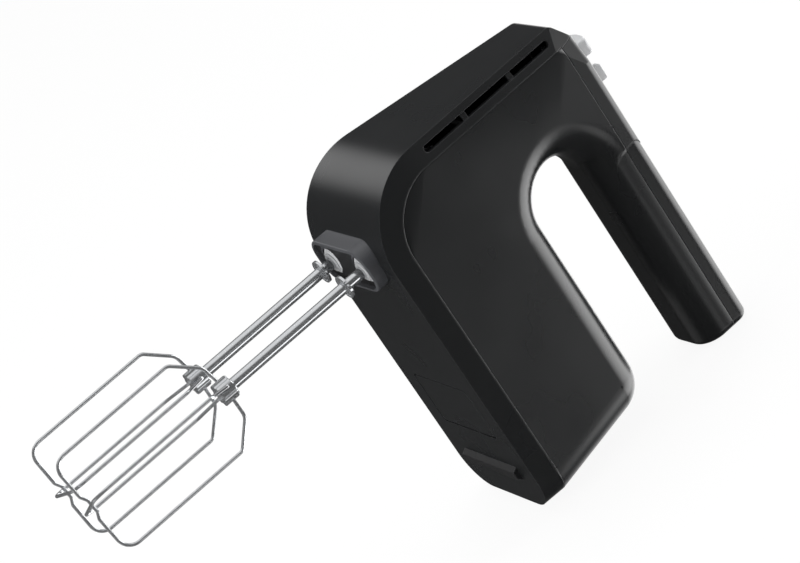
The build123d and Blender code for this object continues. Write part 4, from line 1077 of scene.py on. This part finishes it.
@dataclass(frozen=True)
class Lamp:
    """One square soft lamp.

    Args:
        place: Where it hangs.
        target: What it faces.
        size: Its side in metres.
        power: Its power in watts.
        in_gloss: Whether gloss shows the lamp itself.
    """

    place: tuple[float, float, float]
    target: tuple[float, float, float]
    size: float
    power: float
    in_gloss: bool


@dataclass
class Studio:
    """Pale floor, soft lamps and the camera.

    Args:
        floor_reach: Half side of the floor.
        floor_glow: Share of the floor that the eye sees as plain white.
        eye: Where the camera stands.
        right: The camera's right.
        up: The camera's up.
        lens_mm: Focal length on a 36 mm sensor.
        day: Strength of the surrounding light on the object.
        dark: What gloss sees between the panels.
        panels: The lit panels.
        lamps: The lamps by name.
    """

    floor_reach: float = 9.0
    floor_glow: float = 0.92
    eye: tuple[float, float, float] = (1.3850, -0.4379, 0.7397)
    right: tuple[float, float, float] = (0.45406, 0.72404, -0.51923)
    up: tuple[float, float, float] = (-0.13412, 0.63167, 0.76355)
    lens_mm: float = 142.1
    day: float = 0.4
    dark: float = 0.06
    panels: dict[str, Panel] = field(
        default_factory=lambda: {
            "handle_side": Panel((0.20, 0.82, -0.54), 0.88, 0.96, 4.4),
            "handle_back": Panel((-0.45, 0.80, -0.38), 0.72, 0.95, 2.3),
            "beater_side": Panel((-0.30, -0.87, -0.38), 0.88, 0.98, 0.4),
            "near_strip": Panel((0.767, 0.277, -0.578), 0.975, 0.996, 1.7),
            "overhead": Panel((-0.10, 0.25, 0.96), 0.60, 0.95, 0.8),
            "far_strip": Panel((-0.88, -0.05, 0.46), 0.95, 0.998, 1.5),
        }
    )
    lamps: dict[str, Lamp] = field(
        default_factory=lambda: {
            "handle_softbox": Lamp((0.5, 1.5, 0.9), (0.0, 0.05, 0.1), 0.8, 7.0, True),
            "beater_softbox": Lamp((0.2, -1.7, 0.6), (0.0, 0.0, 0.1), 1.0, 22.0, False),
            "top_softbox": Lamp((-0.4, 0.2, 2.0), (0.0, 0.05, 0.1), 1.0, 24.0, False),
        }
    )

    def build(self) -> None:
        """Make the floor, the world, the lamps and the camera."""
        self.lay_floor()
        self.light_world()
        for name, lamp in self.lamps.items():
            self.hang_lamp(name, lamp)
        self.set_camera()

    def lay_floor(self) -> None:
        """Lay the pale floor; the eye sees it nearly white, with the mixer's soft shadow."""
        mesh = bpy.data.meshes.new("studio_floor")
        shape = bmesh.new()
        bmesh.ops.create_grid(shape, x_segments=1, y_segments=1, size=self.floor_reach)
        shape.to_mesh(mesh)
        shape.free()
        floor = bpy.data.objects.new("studio_floor", mesh)
        bpy.context.scene.collection.objects.link(floor)
        floor.visible_glossy = False
        painted = bpy.data.materials.new("pale_floor_paint")
        painted.use_nodes = True
        tree = painted.node_tree
        tree.nodes.clear()
        paint = add_node(tree, "BsdfDiffuse", {"Color": linear("#F4F4F4")}).outputs[0]
        glow = add_node(tree, "Emission", {"Color": linear("#FFFFFF"), "Strength": 1.0}).outputs[0]
        seen = add_node(tree, "LightPath").outputs["Is Camera Ray"]
        share = add_node(tree, "Math", {1: self.floor_glow}, {0: seen}, operation="MULTIPLY").outputs[0]
        both = add_node(tree, "MixShader", None, {0: share, 1: paint, 2: glow}).outputs[0]
        add_node(tree, "OutputMaterial", None, {"Surface": both})
        mesh.materials.append(painted)

    def light_world(self) -> None:
        """Surround the mixer with even light; gloss and metal see white panels in a dim room."""
        world = bpy.data.worlds.new("studio_world")
        bpy.context.scene.world = world
        world.use_nodes = True
        tree = world.node_tree
        tree.nodes.clear()
        ray = add_node(tree, "TexCoord").outputs["Generated"]
        lit: bpy.types.NodeSocket | None = None
        for panel in self.panels.values():
            toward = tuple(Vector(panel.toward).normalized())
            along = add_node(tree, "VectorMath", {1: toward}, {0: ray}, operation="DOT_PRODUCT")
            share = add_node(
                tree,
                "MapRange",
                {
                    "From Min": panel.edge,
                    "From Max": panel.full,
                    "To Min": self.dark,
                    "To Max": panel.strength,
                },
                {"Value": along.outputs["Value"]},
                interpolation_type="SMOOTHSTEP",
            ).outputs[0]
            if lit:
                share = add_node(
                    tree, "Math", None, {0: lit, 1: share}, operation="MAXIMUM"
                ).outputs[0]
            lit = share
        path = add_node(tree, "LightPath").outputs
        day = add_node(
            tree, "MapRange", {"To Min": self.day, "To Max": 1.0}, {"Value": path["Is Camera Ray"]}
        ).outputs[0]
        strength = add_node(
            tree, "Mix", None, {0: path["Is Glossy Ray"], 2: day, 3: lit}, data_type="FLOAT"
        ).outputs[0]
        light = add_node(
            tree, "Background", {"Color": linear("#FFFFFF")}, {"Strength": strength}
        ).outputs[0]
        add_node(tree, "OutputWorld", None, {"Surface": light})

    def hang_lamp(self, name: str, lamp: Lamp) -> None:
        """Hang one square soft lamp.

        Args:
            name: The lamp's name.
            lamp: Its place, aim, size and power.
        """
        data = bpy.data.lights.new(name, "AREA")
        data.size = lamp.size
        data.energy = lamp.power
        hung = bpy.data.objects.new(name, data)
        hung.location = lamp.place
        aim = Vector(lamp.target) - Vector(lamp.place)
        hung.rotation_euler = aim.to_track_quat("-Z", "Y").to_euler()
        hung.visible_glossy = lamp.in_gloss
        bpy.context.scene.collection.objects.link(hung)

    def set_camera(self) -> None:
        """Stand the camera before the mixer's left side, turned as it is held."""
        right, up = Vector(self.right).normalized(), Vector(self.up)
        back = right.cross(up).normalized()
        up = back.cross(right)
        data = bpy.data.cameras.new("studio_camera")
        data.lens = self.lens_mm
        data.sensor_width = 36.0
        data.clip_end = 50.0
        camera = bpy.data.objects.new("studio_camera", data)
        turn = Matrix((right, up, back)).transposed().to_4x4()
        camera.matrix_world = Matrix.Translation(Vector(self.eye)) @ turn
        bpy.context.scene.collection.objects.link(camera)
        bpy.context.scene.camera = camera


def main() -> None:
    """Build the studio and every sub-assembly, and dress the CAD nodes."""
    logging.basicConfig(level=logging.INFO, format="%(name)s: %(message)s")
    bpy.context.scene.view_settings.view_transform = "Standard"
    for finish, names in NODE_FINISHES.items():
        for name in names:
            dress(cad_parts[name], finish)
        log.info("%s on %d nodes", finish.value.name, len(names))
    for assembly in (Housing(), Keys(), BeaterMouths()):
        assembly.build()
    Studio().build()


if __name__ == "__main__":
    main()
